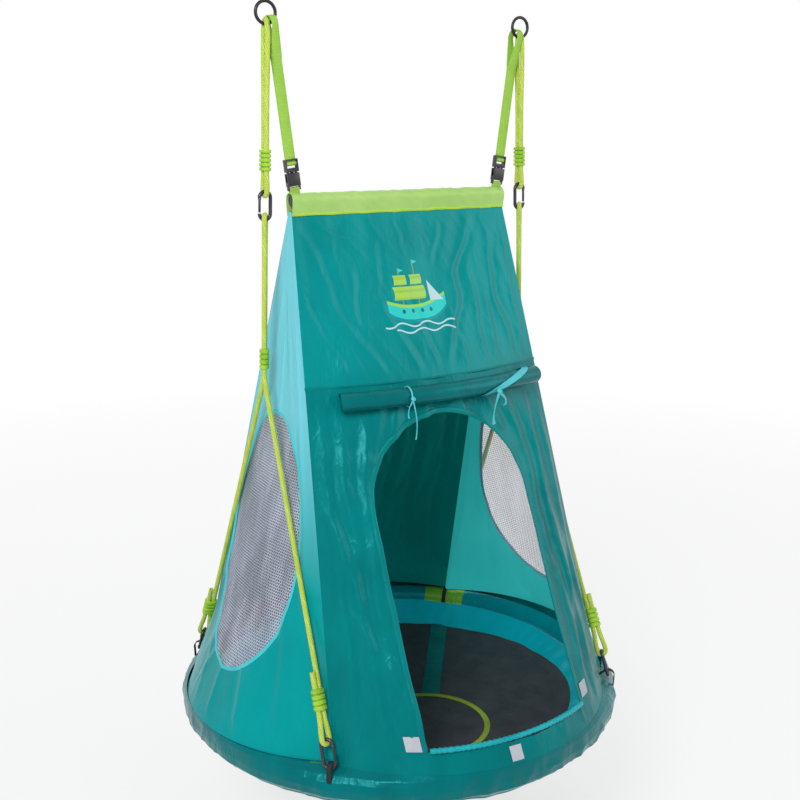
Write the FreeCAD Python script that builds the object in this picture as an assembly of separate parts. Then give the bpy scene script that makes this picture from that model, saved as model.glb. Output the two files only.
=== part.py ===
import FreeCAD, Part
import math
import os

# Saucer nest swing with a fabric play tent, in millimetres.
# X runs along the hanging axis, -Y is the doorway side, +Z is up.
# While it is built, z = 0 is the level that the tent and the ropes are measured from, just above
# the nest ring. Every piece is then moved down by hang_height, so that the origin is midway between
# the centres of the two steel hanging rings.

# ---- driving dimensions --------------------------------------------------------------------
hang_height = 1316.0          # steel ring centres above the nest's level
hang_half_span = 281.0        # half the distance between the steel rings
steel_ring_radius = 19.0      # to the middle of the rod
steel_rod = 6.0

nest_radius = 422.0           # to the middle of the ring tube
nest_level = -14.0            # height of the middle of the ring tube
tube_diameter = 25.0
tube_wall = 1.5
foam_wall = 11.0
cover_thickness = 2.0
soft_gap = 0.3                # clearance that soft pieces keep from their neighbours
slide_gap = 0.3               # clearance of a rope in its slider
pin_gap = 0.05                # running clearance of a hinge pin
split_gap = 0.2               # gap between the ends of two foam sleeves

fabric = 2.0                  # thickness of a tent wall
binding_thickness = 3.6
binding_width = 8.0
mesh_thickness = 0.8
ridge_half_length = 241.0
ridge_half_width = 6.0        # half the tent's width under the ridge sleeve
tent_top = 972.0
tent_foot = 16.0
foot_corner_angle = 41.2      # of the four rope corners, from the X axis
foot_corner_radius = 420.0
foot_radius = 453.0           # of the tent wall between the corners
side_power = 3.2              # how late the side walls flare
front_power = 1.3             # how late the front and back walls bulge
seam_height = 662.0           # horizontal seam of the front wall
# Rows of the skirt below the tent's foot: level, radius at the rope corners, radius between them.
skirt_rows = ((8.0, 440.0, 454.0), (-2.0, 449.5, 454.0), (-14.0, 454.0, 454.0), (-30.0, 451.0, 451.0),
              (-45.0, 434.0, 434.0))
rope_press = 12.5             # how far the side wall stays inside the line of a rope
slider_press = 19.0           # the same beside a lower slider

door_left = -190.0
door_right = 158.0
door_spring = 430.0           # height where the arch starts
door_bottom = 52.0
window_half_width = 132.0
window_middle = 300.0
window_above = 302.0
window_below = 185.0

rope = 9.5
pair_half = 5.1               # half the distance between two strands in a slider
ring_bight = 8.0              # radius of the rope round the steel ring's rod
hook_rod = 5.5
hook_length = 56.0
hook_width = 27.0
gate_swing_length = 25.0
hook_corner_radius = 439.0    # where the lower hooks stand
slider_length = 39.0
slider_wall = 2.2
ridge_out = 1.3               # how far a slider's ribs stand out
rib_extra = 1.8               # and how much further out on its broad sides
upper_slider_level = 1065.0
split_slider_level = 706.0
hook_bottom_upper = 957.0
hook_foot_lower = 17.0
chain_lean = 18.0             # how far the ropes spread between the ring and the lower split
chain_drop = 582.0
strand_twist = 33.0           # turn of the doubled strand below the upper hook
loop_twist = 25.0             # turn of the rope loop on a lower hook

webbing = 20.0
webbing_layer = 1.9
strap_top_width = 12.0
strap_inset = 11.0            # the strap sits this far in from the rope on the steel ring
strap_foot_x = 230.0
strap_foot_level = 1005.0
ridge_bar_diameter = 22.0
ridge_bar_level = 992.0
sleeve_wall = 2.0

V = FreeCAD.Vector
up = V(0, 0, 1)
origin = V(0, 0, 0)
nodes = {}


# ---- helpers --------------------------------------------------------------------------------
def add(name, *shapes):
    solids = [solid for shape in shapes for solid in shape.Solids]
    nodes[name] = solids[0] if len(solids) == 1 else Part.makeCompound(solids)


def moved(shape, dx=0.0, dy=0.0, dz=0.0):
    result = shape.copy()
    result.translate(V(dx, dy, dz))
    return result


def turned(shape, centre, axis, degrees):
    result = shape.copy()
    result.rotate(centre, axis, degrees)
    return result


def mirrored(shape, normal):
    return shape.mirror(origin, normal)


def box(x0, x1, y0, y1, z0, z1):
    return Part.makeBox(x1 - x0, y1 - y0, z1 - z0, V(x0, y0, z0))


def ring_of(profile, start_angle, sweep):
    """Revolve a face in the XZ plane about Z."""
    face = turned(profile, origin, up, start_angle)
    return face.revolve(origin, up, sweep)


def polygon(points):
    return Part.Face(Part.makePolygon(points + [points[0]]))


def placed(shape, base, x_axis, y_axis, z_axis):
    """Put a shape made at the origin into the frame of three perpendicular axes."""
    matrix = FreeCAD.Matrix(x_axis.x, y_axis.x, z_axis.x, base.x,
                            x_axis.y, y_axis.y, z_axis.y, base.y,
                            x_axis.z, y_axis.z, z_axis.z, base.z, 0, 0, 0, 1)
    result = shape.copy()
    result.Placement = FreeCAD.Placement(matrix).multiply(result.Placement)
    return result


def frame_point(base, axes, a, b, c):
    return base + axes[0] * a + axes[1] * b + axes[2] * c


def rope_solid(name, points, radii, diameter):
    """A tube along straight runs joined by tangent arcs; radii has one value for each inner point."""
    edges = []
    length = 0.0
    last = points[0]
    for index in range(1, len(points) - 1):
        corner = points[index]
        back = (points[index - 1] - corner).normalize()
        ahead = (points[index + 1] - corner).normalize()
        turn = math.pi - back.getAngle(ahead)
        radius = radii[index - 1]
        shorter = min((points[index - 1] - corner).Length, (points[index + 1] - corner).Length)
        if radius is None:
            radius = 0.45 * shorter / math.tan(turn / 2)
        cut = radius * math.tan(turn / 2)
        first = corner + back * cut
        second = corner + ahead * cut
        middle_way = (back + ahead).normalize()
        centre = corner + middle_way * (radius / math.cos(turn / 2))
        middle = centre - middle_way * radius
        if (first - last).Length > 0.01:
            edges.append(Part.LineSegment(last, first).toShape())
            length += (first - last).Length
        edges.append(Part.Arc(first, middle, second).toShape())
        length += radius * turn
        last = second
        print(name, "point", index, "turn", round(math.degrees(turn), 1), "radius", round(radius, 1))
    edges.append(Part.LineSegment(last, points[-1]).toShape())
    length += (points[-1] - last).Length
    wire = Part.Wire(edges)
    start_way = (points[1] - points[0]).normalize()
    ring = Part.Wire(Part.makeCircle(diameter / 2, points[0], start_way))
    solid = wire.makePipeShell([ring], True, False)
    expected = math.pi * diameter ** 2 / 4 * length
    print(name, "length", round(length, 1), "volume ratio", round(solid.Volume / expected, 4))
    return solid


# ---- nest ring ------------------------------------------------------------------------------
def ring_profile(outer, inner=None):
    centre = V(nest_radius, 0, nest_level)
    face = Part.Face(Part.Wire(Part.makeCircle(outer, centre, V(0, 1, 0))))
    if inner:
        face = face.cut(Part.Face(Part.Wire(Part.makeCircle(inner, centre, V(0, 1, 0)))))
    return face


corner_angles = [foot_corner_angle, 180 - foot_corner_angle, 180 + foot_corner_angle, 360 - foot_corner_angle]
joint_angles = [0.0, 90.0, 180.0, 270.0]
tube_radius = tube_diameter / 2
spigot_half = 3.4             # degrees of ring that a spigot reaches into each tube
tube_bore = tube_radius - tube_wall
screw_radius = 2.0
screw_head = 3.6

spigots = []
screws = []
holes = []
for angle in joint_angles:
    spigot = ring_of(ring_profile(tube_bore - pin_gap, tube_bore - 2.0), angle - spigot_half, 2 * spigot_half)
    for side in (-1, 1):
        screw_angle = angle + side * spigot_half * 0.6
        shank = Part.makeCylinder(screw_radius, 7.0, V(nest_radius, 0, nest_level - tube_radius - 0.9), up)
        head = Part.makeCylinder(screw_head, 0.9, V(nest_radius, 0, nest_level - tube_radius - 0.9), up)
        hole = Part.makeCylinder(screw_radius, 9.0, V(nest_radius, 0, nest_level - tube_radius - 2), up)
        screws.append(turned(shank.fuse(head), origin, up, screw_angle))
        holes.append(turned(hole, origin, up, screw_angle))
    spigots.append(spigot)
hole_group = Part.makeCompound(holes)
screw_group = Part.makeCompound(screws)
spigots = [spigot.cut(hole_group) for spigot in spigots]
seated_heads = [screw.cut(ring_of(ring_profile(tube_radius), -screw_head, 2 * 180.0).cut(hole_group))
                for screw in screws]
add("ring_spigots", *spigots)
add("ring_screws", *seated_heads)

foam_inner = tube_radius + soft_gap
foam_outer = foam_inner + foam_wall
cover_inner = foam_outer + soft_gap
cover_outer = cover_inner + cover_thickness
split_angle = math.degrees(split_gap / nest_radius)
head_room = []
for angle in joint_angles:
    for side in (-1, 1):
        room = Part.makeCylinder(screw_head + 1, 3.0, V(nest_radius, 0, nest_level - tube_radius - 2.4), up)
        head_room.append(turned(room, origin, up, angle + side * spigot_half * 0.6))
head_rooms = Part.makeCompound(head_room)
tubes = []
foams = []
for angle in joint_angles:
    tubes.append(ring_of(ring_profile(tube_radius, tube_bore), angle, 90.0).cut(hole_group))
    foam = ring_of(ring_profile(foam_outer, foam_inner), angle + split_angle, 90.0 - 2 * split_angle)
    foams.append(foam.cut(head_rooms))
add("ring_tubes", *tubes)
add("foam_sleeves", *foams)

# The cover is lime at the four rope corners and teal between them.
lime_half = 7.0
lime = []
teal = []
for index, angle in enumerate(corner_angles):
    following = corner_angles[(index + 1) % 4] + (360 if index == 3 else 0)
    lime.append(ring_of(ring_profile(cover_outer, cover_inner), angle - lime_half, 2 * lime_half))
    teal.append(ring_of(ring_profile(cover_outer, cover_inner), angle + lime_half,
                        following - angle - 2 * lime_half))
add("rim_cover_lime", *lime)
add("rim_cover_teal", *teal)

border_inner = 328.0
border_outer = nest_radius - cover_outer - soft_gap
seat_level = -42.0
dip_radius = 200.0
seat_dip = 5.0
border = polygon([V(border_inner, 0, seat_level), V(border_outer, 0, nest_level - 2),
                  V(border_outer, 0, nest_level),
                  V(border_inner, 0, seat_level + fabric)])
notches = [turned(box(380, 400, -8.0, 8.0, -60, 20), origin, up, angle) for angle in corner_angles]
add("seat_border", ring_of(border, 0, 360.0).cut(Part.makeCompound(notches)))
seat = polygon([V(0, 0, seat_level - seat_dip), V(200, 0, seat_level - seat_dip * 0.7),
                V(border_inner, 0, seat_level),
                V(border_inner, 0, seat_level + fabric), V(200, 0, seat_level - seat_dip * 0.7 + fabric),
                V(0, 0, seat_level - seat_dip + fabric)])
add("seat_mat", ring_of(seat, 0, 360.0))


# A lime ring band and four teal strips are sewn on the seat mat.
band_radius = 117.0
band_x = -38.0                # the band is sewn on off the middle
band_y = -160.0
band_width = 11.0
band_thickness = 1.0
strip_width = 38.0
strip_end = border_inner - 2.0


def seat_top(radius):
    if radius < dip_radius:
        return seat_level + fabric - seat_dip + seat_dip * 0.3 * radius / dip_radius
    return seat_level + fabric - seat_dip * 0.7 * (border_inner - radius) / (border_inner - dip_radius)


def seat_strip(r0, r1):
    return polygon([V(r0, 0, seat_top(r0)), V(dip_radius, 0, seat_top(dip_radius)), V(r1, 0, seat_top(r1)),
                    V(r1, 0, seat_top(r1) + band_thickness),
                    V(dip_radius, 0, seat_top(dip_radius) + band_thickness),
                    V(r0, 0, seat_top(r0) + band_thickness)])


skin = ring_of(seat_strip(0.0, strip_end), 0, 360.0)
band_ring = Part.makeCylinder(band_radius + band_width, 60, V(band_x, band_y, -80))
band_ring = band_ring.cut(Part.makeCylinder(band_radius, 60, V(band_x, band_y, -80)))
add("seat_band_lime", skin.common(band_ring))
strips = []
for angle in (52.0, 142.0, 232.0):
    slab = box(band_radius + band_width + 1, 2 * border_inner, -strip_width / 2, strip_width / 2, -80, 0)
    strips.append(skin.common(moved(turned(slab, origin, up, angle), band_x, band_y)))
add("seat_strips_teal", *strips)

# ---- tent walls -----------------------------------------------------------------------------
foot_x = foot_corner_radius * math.cos(math.radians(foot_corner_angle))
foot_y = foot_corner_radius * math.sin(math.radians(foot_corner_angle))


hook_x = hook_corner_radius * math.cos(math.radians(foot_corner_angle))
hook_y = hook_corner_radius * math.sin(math.radians(foot_corner_angle))
saddle_level = hang_height - steel_ring_radius
strand_top = split_slider_level - 34.0
strand_top_x = hang_half_span + chain_lean * (saddle_level - strand_top) / chain_drop


def tent_sizes(z):
    """Corner x, corner y, side reach and front reach of the tent's outside at a height."""
    share = (tent_top - z) / (tent_top - tent_foot)
    corner_x = ridge_half_length + (foot_x - ridge_half_length) * share
    corner_y = ridge_half_width + (foot_y - ridge_half_width) * share
    side = corner_x + 1.0 + (foot_radius - foot_x - 1.0) * share ** side_power
    front = corner_y + 1.0 + (foot_radius - foot_y - 1.0) * share ** front_power
    return corner_x, corner_y, side, front


def front_point(x, z):
    """A point on the outside of the front wall."""
    corner_x, corner_y, side, front = tent_sizes(z)
    rise = front - corner_y
    bend = (corner_x ** 2 + rise ** 2) / (2 * rise)
    return V(x, -(front - bend + math.sqrt(bend ** 2 - x ** 2)), z)


def rope_pass(z):
    """Where a side wall runs behind a rope at a height: the bend point's x and y."""
    corner_x, corner_y, side, front = tent_sizes(z)
    share = min(max((strand_top - z) / (strand_top - hook_foot_lower), 0.0), 1.0)
    line_x = strand_top_x + (hook_x - strand_top_x) * share
    ramp = min(max((share - 0.6) / 0.18, 0.0), 1.0)
    bend_y = min(max(hook_y * share - 14.0 * ramp, 0.45 * corner_y), corner_y - 0.6 * min(corner_y, 20.0))
    free_x = corner_x + (side - corner_x) * (1 - (bend_y / corner_y) ** 2)
    return min(free_x, line_x - rope_press - (slider_press - rope_press) * ramp), bend_y


def wall_section(z, wall, out, depth):
    """Closed outline of one wall at a height, from out outside the surface to depth inside it."""
    corner_x, corner_y, side, front = tent_sizes(z)
    bend_x, bend_y = rope_pass(z)
    slant = math.sqrt(0.5)
    outlines = []
    for shift in (out, -depth):
        px = corner_x + shift * slant
        py = corner_y + shift * slant
        if wall == "front":
            arc = Part.Arc(V(-px, -py, z), V(0, -(front + shift), z), V(px, -py, z)).toShape()
            outlines.append((V(-px, -py, z), [arc], V(px, -py, z)))
        else:
            low = V(bend_x + shift, -bend_y, z)
            high = V(bend_x + shift, bend_y, z)
            edges = [Part.makeLine(V(px, -py, z), low), Part.Arc(low, V(side + shift, 0, z), high).toShape(),
                     Part.makeLine(high, V(px, py, z))]
            outlines.append((V(px, -py, z), edges, V(px, py, z)))
    outer, inner = outlines
    joins = [Part.makeLine(outer[2], inner[2]), Part.makeLine(inner[0], outer[0])]
    return Part.Wire(outer[1] + [joins[0]] + inner[1][::-1] + [joins[1]])


def wall_solid(wall, levels, out=0.0, depth=fabric):
    return Part.makeLoft([wall_section(z, wall, out, depth) for z in levels], True, True)


upper_levels = [tent_top, 880.0, 770.0, seam_height]
lower_levels = [seam_height, 560.0, 460.0, 370.0, 290.0, 220.0, 160.0, 110.0, 60.0, tent_foot]
all_levels = upper_levels + lower_levels[1:]


def arch_prism(inset, y0, y1):
    middle = (door_left + door_right) / 2
    half = (door_right - door_left) / 2 - inset
    bottom = V(middle - half, y0, door_bottom)
    corner = V(middle + half, y0, door_bottom)
    left = V(middle - half, y0, door_spring)
    right = V(middle + half, y0, door_spring)
    arc = Part.Arc(left, V(middle, y0, door_spring + half), right).toShape()
    wire = Part.Wire([Part.makeLine(bottom, left), arc, Part.makeLine(right, corner),
                      Part.makeLine(corner, bottom)])
    return Part.Face(wire).extrude(V(0, y1 - y0, 0))


def window_prism(inset, x0, x1):
    half = window_half_width - inset
    above = window_above - inset
    below = window_below - inset

    def half_ellipse(height, sign):
        centre = V(x0, 0, window_middle)
        tip = V(x0, 0, window_middle + sign * height)
        wide = V(x0, half, window_middle)
        curve = Part.Ellipse(tip, wide, centre) if height > half else Part.Ellipse(wide, tip, centre)
        face = Part.Face(Part.Wire(curve.toShape()))
        z0, z1 = (window_middle, window_middle + 400) if sign > 0 else (window_middle - 400, window_middle)
        return face.extrude(V(x1 - x0, 0, 0)).common(box(x0 - 1, x1 + 1, -400, 400, z0, z1))

    return half_ellipse(above, 1).fuse(half_ellipse(below, -1)).removeSplitter()


slit_half = 11.0
slit_top = 32.0
slit_bottom = -12.0
slits = Part.makeCompound([turned(box(398, 480, -slit_half, slit_half, slit_bottom, slit_top), origin, up,
                                  angle)
                           for angle in corner_angles])

front_upper = wall_solid("front", upper_levels)
front_lower_full = wall_solid("front", lower_levels)
front_lower = front_lower_full.cut(arch_prism(0, -600, -60)).cut(slits)
add("front_panel_upper", front_upper)
add("front_panel_lower", front_lower)
add("back_panel", mirrored(wall_solid("front", all_levels), V(0, 1, 0)).cut(slits))
binding_extra = (binding_thickness - fabric) / 2
door_ring = arch_prism(0, -600, -60).cut(arch_prism(binding_width, -600, -60))
door_shell = wall_solid("front", lower_levels, binding_extra, fabric + binding_extra)
add("doorway_binding", door_shell.common(door_ring))

side_full = wall_solid("side", all_levels)
window_cut = window_prism(0, 200, 520)
side_panel = side_full.cut(window_cut).cut(slits)
window_ring = window_cut.cut(window_prism(binding_width, 200, 520))
side_binding = wall_solid("side", all_levels, binding_extra, fabric + binding_extra).common(window_ring)
mesh_skin = wall_solid("side", all_levels, -(fabric - mesh_thickness) / 2, (fabric + mesh_thickness) / 2)
side_mesh = mesh_skin.common(window_prism(binding_width, 200, 520))
left_side = V(1, 0, 0)        # mirror normal that carries a right-hand piece to the left
add("side_panel_right", side_panel)
add("side_panel_left", mirrored(side_panel, left_side))
add("window_bindings", side_binding, mirrored(side_binding, left_side))
add("mesh_window_right", side_mesh)
add("mesh_window_left", mirrored(side_mesh, left_side))

# The skirt carries on from the tent's foot, over the ring's outside and under it.
def skirt_section(z, corner_r, middle_r):
    edges = []
    for index in range(4):
        ends = [math.radians(corner_angles[index]), math.radians(corner_angles[(index + 1) % 4])]
        middle = math.radians(90.0 * (index + 1))
        points = [V(r * math.cos(a), r * math.sin(a), z)
                  for r, a in ((corner_r, ends[0]), (middle_r, middle), (corner_r, ends[1]))]
        edges.append(Part.Arc(*points).toShape())
    return Part.Wire(edges)


skirt_all = [(tent_foot, foot_corner_radius, foot_radius)] + list(skirt_rows)
skirt_outer = Part.makeLoft([skirt_section(*row) for row in skirt_all], True, True)
skirt_inner = Part.makeLoft([skirt_section(z, a - fabric, b - fabric) for z, a, b in skirt_all], True, True)
add("skirt", skirt_outer.cut(skirt_inner).cut(slits))

# Gathered piping on the doorway's sill, and three hook-and-loop tabs beside it.
piping = 12.0
sill_front = tent_sizes(door_bottom)[3] - fabric / 2
left_angle = math.degrees(math.asin((door_left + binding_width + 1) / sill_front))
right_angle = math.degrees(math.asin((door_right - binding_width - 1) / sill_front))
piping_face = Part.Face(Part.Wire(Part.makeCircle(piping / 2,
                                                  V(sill_front - 3, 0, door_bottom + piping / 2 + soft_gap),
                                                  V(0, 1, 0))))
add("sill_piping", ring_of(piping_face, 270 + left_angle, right_angle - left_angle))
tab_size = 24.0
tabs = []
for tab_x, tab_z in ((-208.0, 66.0), (-35.0, 34.0), (176.0, 74.0)):
    middle = front_point(tab_x, tab_z)
    across = (front_point(tab_x + 10, tab_z) - front_point(tab_x - 10, tab_z)).normalize()
    rising = (front_point(tab_x, tab_z + 10) - front_point(tab_x, tab_z - 10)).normalize()
    outward = across.cross(rising).normalize()
    rising = outward.cross(across).normalize()
    tab = box(-tab_size / 2, tab_size / 2, -tab_size / 2, tab_size / 2, soft_gap + 0.2, soft_gap + 1.4)
    tabs.append(placed(tab, middle, across, rising, outward))
add("hook_loop_tabs", *tabs)

# ---- rolled door flap and its ties ------------------------------------------------------------
roll_radius = 18.0
roll_level = seam_height - roll_radius - 4
roll_x0 = -220.0
roll_x1 = 236.0
tie_thick = 1.4
roll_corner_x, roll_corner_y, _, roll_front = tent_sizes(roll_level)
wall_slope = math.atan((tent_sizes(roll_level - 10)[3] - tent_sizes(roll_level + 10)[3]) / 20)
roll_rise = roll_front - roll_corner_y
roll_bend = (roll_corner_x ** 2 + roll_rise ** 2) / (2 * roll_rise)    # the wall's radius in plan
roll_centre = V(0, roll_bend - roll_front, 0)
roll_arc = roll_bend + (roll_radius + tie_thick + 2 * soft_gap) / math.cos(wall_slope)
tie_left_x = -88.0
tie_right_x = 160.0
tie_radius = roll_radius + soft_gap


def on_roll(shape, x):
    """Carry a piece made round the X axis to its place along the bent roll."""
    bearing = math.asin((x) / roll_arc)
    placed_piece = moved(shape, 0, -roll_arc, roll_level)
    placed_piece = turned(placed_piece, origin, up, math.degrees(bearing))
    return moved(placed_piece, 0, roll_centre.y, 0)


roll_start = math.degrees(math.asin(roll_x0 / roll_arc))
roll_end = math.degrees(math.asin(roll_x1 / roll_arc))
roll_face = Part.Face(Part.Wire(Part.makeCircle(roll_radius, V(0, -roll_arc, roll_level), V(1, 0, 0))))
roll = turned(roll_face, origin, up, roll_start).revolve(origin, up, roll_end - roll_start)
add("door_roll", moved(roll, 0, roll_centre.y, 0))


def tie_shape(width, knot, tail_width, tail_length):
    """A loop round the roll with its knot in front and a tail hanging from it."""
    loop = Part.makeCylinder(tie_radius + tie_thick, width, V(-width / 2, 0, 0), V(1, 0, 0))
    front = -tie_radius - tie_thick
    tail = box(-tail_width / 2, tail_width / 2, front - 1.6, front + 0.2, -tail_length, 0)
    hollow = Part.makeCylinder(tie_radius, 60, V(-30, 0, 0), V(1, 0, 0))
    return loop.fuse(knot).fuse(tail).cut(hollow)


cord_knot = Part.makeSphere(4.0, V(0, -tie_radius - 2.0, 0))
ribbon_knot = box(-7, 7, -tie_radius - 6, -tie_radius + 3, -6, 6)
add("door_tie_left", on_roll(tie_shape(3.0, cord_knot, 3.0, 78.0), tie_left_x))
add("door_tie_right", on_roll(tie_shape(12.0, ribbon_knot, 12.0, 62.0), tie_right_x))

# ---- ridge ------------------------------------------------------------------------------------
bar_radius = ridge_bar_diameter / 2
sleeve_radius = bar_radius + soft_gap + sleeve_wall
ridge_end = ridge_half_length - 6
bar = Part.makeCylinder(bar_radius, 2 * ridge_end, V(-ridge_end, 0, ridge_bar_level), V(1, 0, 0))
bar_hollow = Part.makeCylinder(bar_radius - 1.6, 2 * ridge_end, V(-ridge_end, 0, ridge_bar_level), V(1, 0, 0))
add("ridge_bar", bar.cut(bar_hollow))
caps = []
for sign in (-1, 1):
    plug = Part.makeCylinder(bar_radius - 1.6 - pin_gap, 18, V(sign * (ridge_end - 18), 0, ridge_bar_level),
                             V(sign, 0, 0))
    flange = Part.makeCylinder(bar_radius, 2.5, V(sign * ridge_end, 0, ridge_bar_level), V(sign, 0, 0))
    caps.append(plug.fuse(flange))
add("ridge_bar_caps", *caps)
lip = ridge_half_width + 1.0
sleeve_round = Part.makeCylinder(sleeve_radius, 2 * ridge_half_length,
                                 V(-ridge_half_length, 0, ridge_bar_level),
                                 V(1, 0, 0))
sleeve_skirt = polygon([V(-ridge_half_length, -sleeve_radius + 1, ridge_bar_level - 4),
                        V(-ridge_half_length, sleeve_radius - 1, ridge_bar_level - 4),
                        V(-ridge_half_length, lip, tent_top), V(-ridge_half_length, -lip, tent_top)])
sleeve_skirt = sleeve_skirt.extrude(V(2 * ridge_half_length, 0, 0))
sleeve_hollow = Part.makeCylinder(bar_radius + soft_gap, 2 * ridge_half_length,
                                  V(-ridge_half_length, 0, ridge_bar_level), V(1, 0, 0))
ridge_sleeve = sleeve_round.fuse(sleeve_skirt).cut(sleeve_hollow)
add("ridge_sleeve", ridge_sleeve)

# ---- steel rings, straps and buckles ------------------------------------------------------------
strap_lean = math.degrees(math.atan((hang_half_span - strap_inset - strap_foot_x)
                                    / (saddle_level - strap_foot_level)))
strap_run = math.hypot(hang_half_span - strap_inset - strap_foot_x, saddle_level - strap_foot_level)
bight_inner = 13.8
bight_outer = bight_inner + webbing_layer
joined = 62.0                 # below here the strap's two layers lie together
bar_at = strap_run - 54.0     # the buckle's webbing bar
bar_thick = 4.0
buckle_width = 25.0
buckle_thick = 11.0


def teardrop(radius, tip, width):
    """A round top with two straight sides that meet at a tip, pushed out along X."""
    rise = math.asin(radius / tip)
    touch_y = radius * math.cos(rise)
    touch_z = -radius * math.sin(rise)
    x0 = -width / 2
    arc = Part.Arc(V(x0, -touch_y, touch_z), V(x0, 0, radius), V(x0, touch_y, touch_z)).toShape()
    wire = Part.Wire([arc, Part.makeLine(V(x0, touch_y, touch_z), V(x0, 0, -tip)),
                      Part.makeLine(V(x0, 0, -tip), V(x0, -touch_y, touch_z))])
    return Part.Face(wire).extrude(V(width, 0, 0))


def strap_shape():
    loop = teardrop(bight_outer, joined + 9, webbing)
    legs = box(-webbing / 2, webbing / 2, -webbing_layer, webbing_layer, -bar_at, -joined + 6)
    eye = Part.makeCylinder(bar_thick / 2 + 0.3 + webbing_layer, webbing, V(-webbing / 2, 0, -bar_at),
                            V(1, 0, 0))
    eye_hole = Part.makeCylinder(bar_thick / 2 + 0.3, webbing, V(-webbing / 2, 0, -bar_at), V(1, 0, 0))
    solid = loop.fuse(legs).fuse(eye).cut(teardrop(bight_inner, joined, webbing)).cut(eye_hole)
    half_top = strap_top_width / 2
    keep = polygon([V(-half_top, -60, 40), V(half_top, -60, 40), V(half_top, -60, -4),
                    V(webbing / 2, -60, -50),
                    V(webbing / 2, -60, -strap_run), V(-webbing / 2, -60, -strap_run),
                    V(-webbing / 2, -60, -50),
                    V(-half_top, -60, -4)])
    return solid.common(keep.extrude(V(0, 120, 0)))


prong_length = 16.0
prong_thick = 3.0
prong_tall = 5.0
prong_x = 8.2
prong_root = bar_at + 13.5    # distance of the prongs' roots below the saddle
socket_depth = 19.0
female_top = bar_at + 17.0
female_depth = 23.5
female_bar_at = female_top + female_depth + 5.0
male_half = buckle_width / 2


def male_shape():
    body = box(-male_half, male_half, -buckle_thick / 2, buckle_thick / 2, -bar_at - 15.0, -bar_at + 8.0)
    window_low = box(-webbing / 2 - 0.4, webbing / 2 + 0.4, -20, 20, -bar_at - 7.6, -bar_at + 5.6)
    bar = Part.makeCylinder(bar_thick / 2, buckle_width, V(-male_half, 0, -bar_at), V(1, 0, 0))
    tongue = box(-2.5, 2.5, -2.0, 2.0, -bar_at - 34.0, -bar_at - 14.0)
    slot = box(-webbing / 2 - 0.4, webbing / 2 + 0.4, -webbing_layer - 0.4, webbing_layer + 0.4,
               -bar_at + 5, -bar_at + 9)
    solid = body.cut(window_low).cut(slot).fuse(bar.common(body)).fuse(tongue)
    for sign in (-1, 1):
        pocket = box(sign * prong_x - 3.4, sign * prong_x + 3.4, -prong_tall / 2 - 0.4, prong_tall / 2 + 0.4,
                     -bar_at - 16.0, -prong_root + 2.6)
        solid = solid.cut(pocket)
        pin = Part.makeCylinder(1.0, buckle_thick - 2, V(sign * prong_x, -buckle_thick / 2 + 1,
                                                         -prong_root), V(0, 1, 0))
        solid = solid.fuse(pin)
    return solid.removeSplitter()


def prong_shape(sign):
    shank = box(sign * prong_x - prong_thick / 2, sign * prong_x + prong_thick / 2, -prong_tall / 2,
                prong_tall / 2,
                -prong_root - prong_length, -prong_root)
    root = Part.makeCylinder(2.0, prong_tall, V(sign * prong_x, -prong_tall / 2, -prong_root), V(0, 1, 0))
    low = -prong_root - prong_length
    barb_out = prong_x + prong_thick / 2 + 1.9
    barb = polygon([V(sign * prong_x, -prong_tall / 2, low), V(sign * (barb_out - 1.5), -prong_tall / 2,
                                                               low + 1.0),
                    V(sign * barb_out, -prong_tall / 2, low + 9.0),
                    V(sign * prong_x, -prong_tall / 2, low + 9.0)])
    solid = shank.fuse(root).fuse(barb.extrude(V(0, prong_tall, 0)))
    hole = Part.makeCylinder(1.0 + pin_gap, 20, V(sign * prong_x, -10, -prong_root), V(0, 1, 0))
    return solid.cut(hole).removeSplitter()


def female_shape():
    wall = 2.0
    half_thick = buckle_thick / 2
    body = box(-male_half, male_half, -half_thick, half_thick, -female_top - female_depth, -female_top)
    mouth = box(-male_half + wall, male_half - wall, -half_thick + wall, half_thick - wall,
                -female_top - socket_depth, -female_top + 1)
    windows = box(-30, 30, -prong_tall / 2 - 0.5, prong_tall / 2 + 0.5, -prong_root - prong_length - 3.0,
                  -prong_root - prong_length + 11.0)
    ears = box(-male_half, male_half, -half_thick + 2, half_thick - 2, -female_bar_at - 2.5,
               -female_top - female_depth + 1)
    gap = box(-webbing / 2 - 0.4, webbing / 2 + 0.4, -20, 20, -female_bar_at - 10,
              -female_top - female_depth - 0.2)
    bar = Part.makeCylinder(bar_thick / 2, buckle_width, V(-male_half, 0, -female_bar_at), V(1, 0, 0))
    return body.cut(mouth).cut(windows).fuse(ears.cut(gap)).fuse(bar).removeSplitter()


def tab_shape():
    eye = Part.makeCylinder(bar_thick / 2 + 0.3 + 1.2, webbing, V(-webbing / 2, 0, -female_bar_at),
                            V(1, 0, 0))
    hole = Part.makeCylinder(bar_thick / 2 + 0.3, webbing, V(-webbing / 2, 0, -female_bar_at), V(1, 0, 0))
    legs = box(-webbing / 2, webbing / 2, -2.4, 2.4, -female_bar_at - 16, -female_bar_at)
    return eye.fuse(legs).cut(hole)


def hang_left_or_right(shape, sign, x):
    """Lean a piece that was made hanging straight down from the saddle, and carry it to its side."""
    leaned = turned(shape, origin, V(0, 1, 0), strap_lean)
    result = moved(leaned, x, 0, saddle_level)
    return result if sign > 0 else mirrored(result, V(1, 0, 0))


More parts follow.
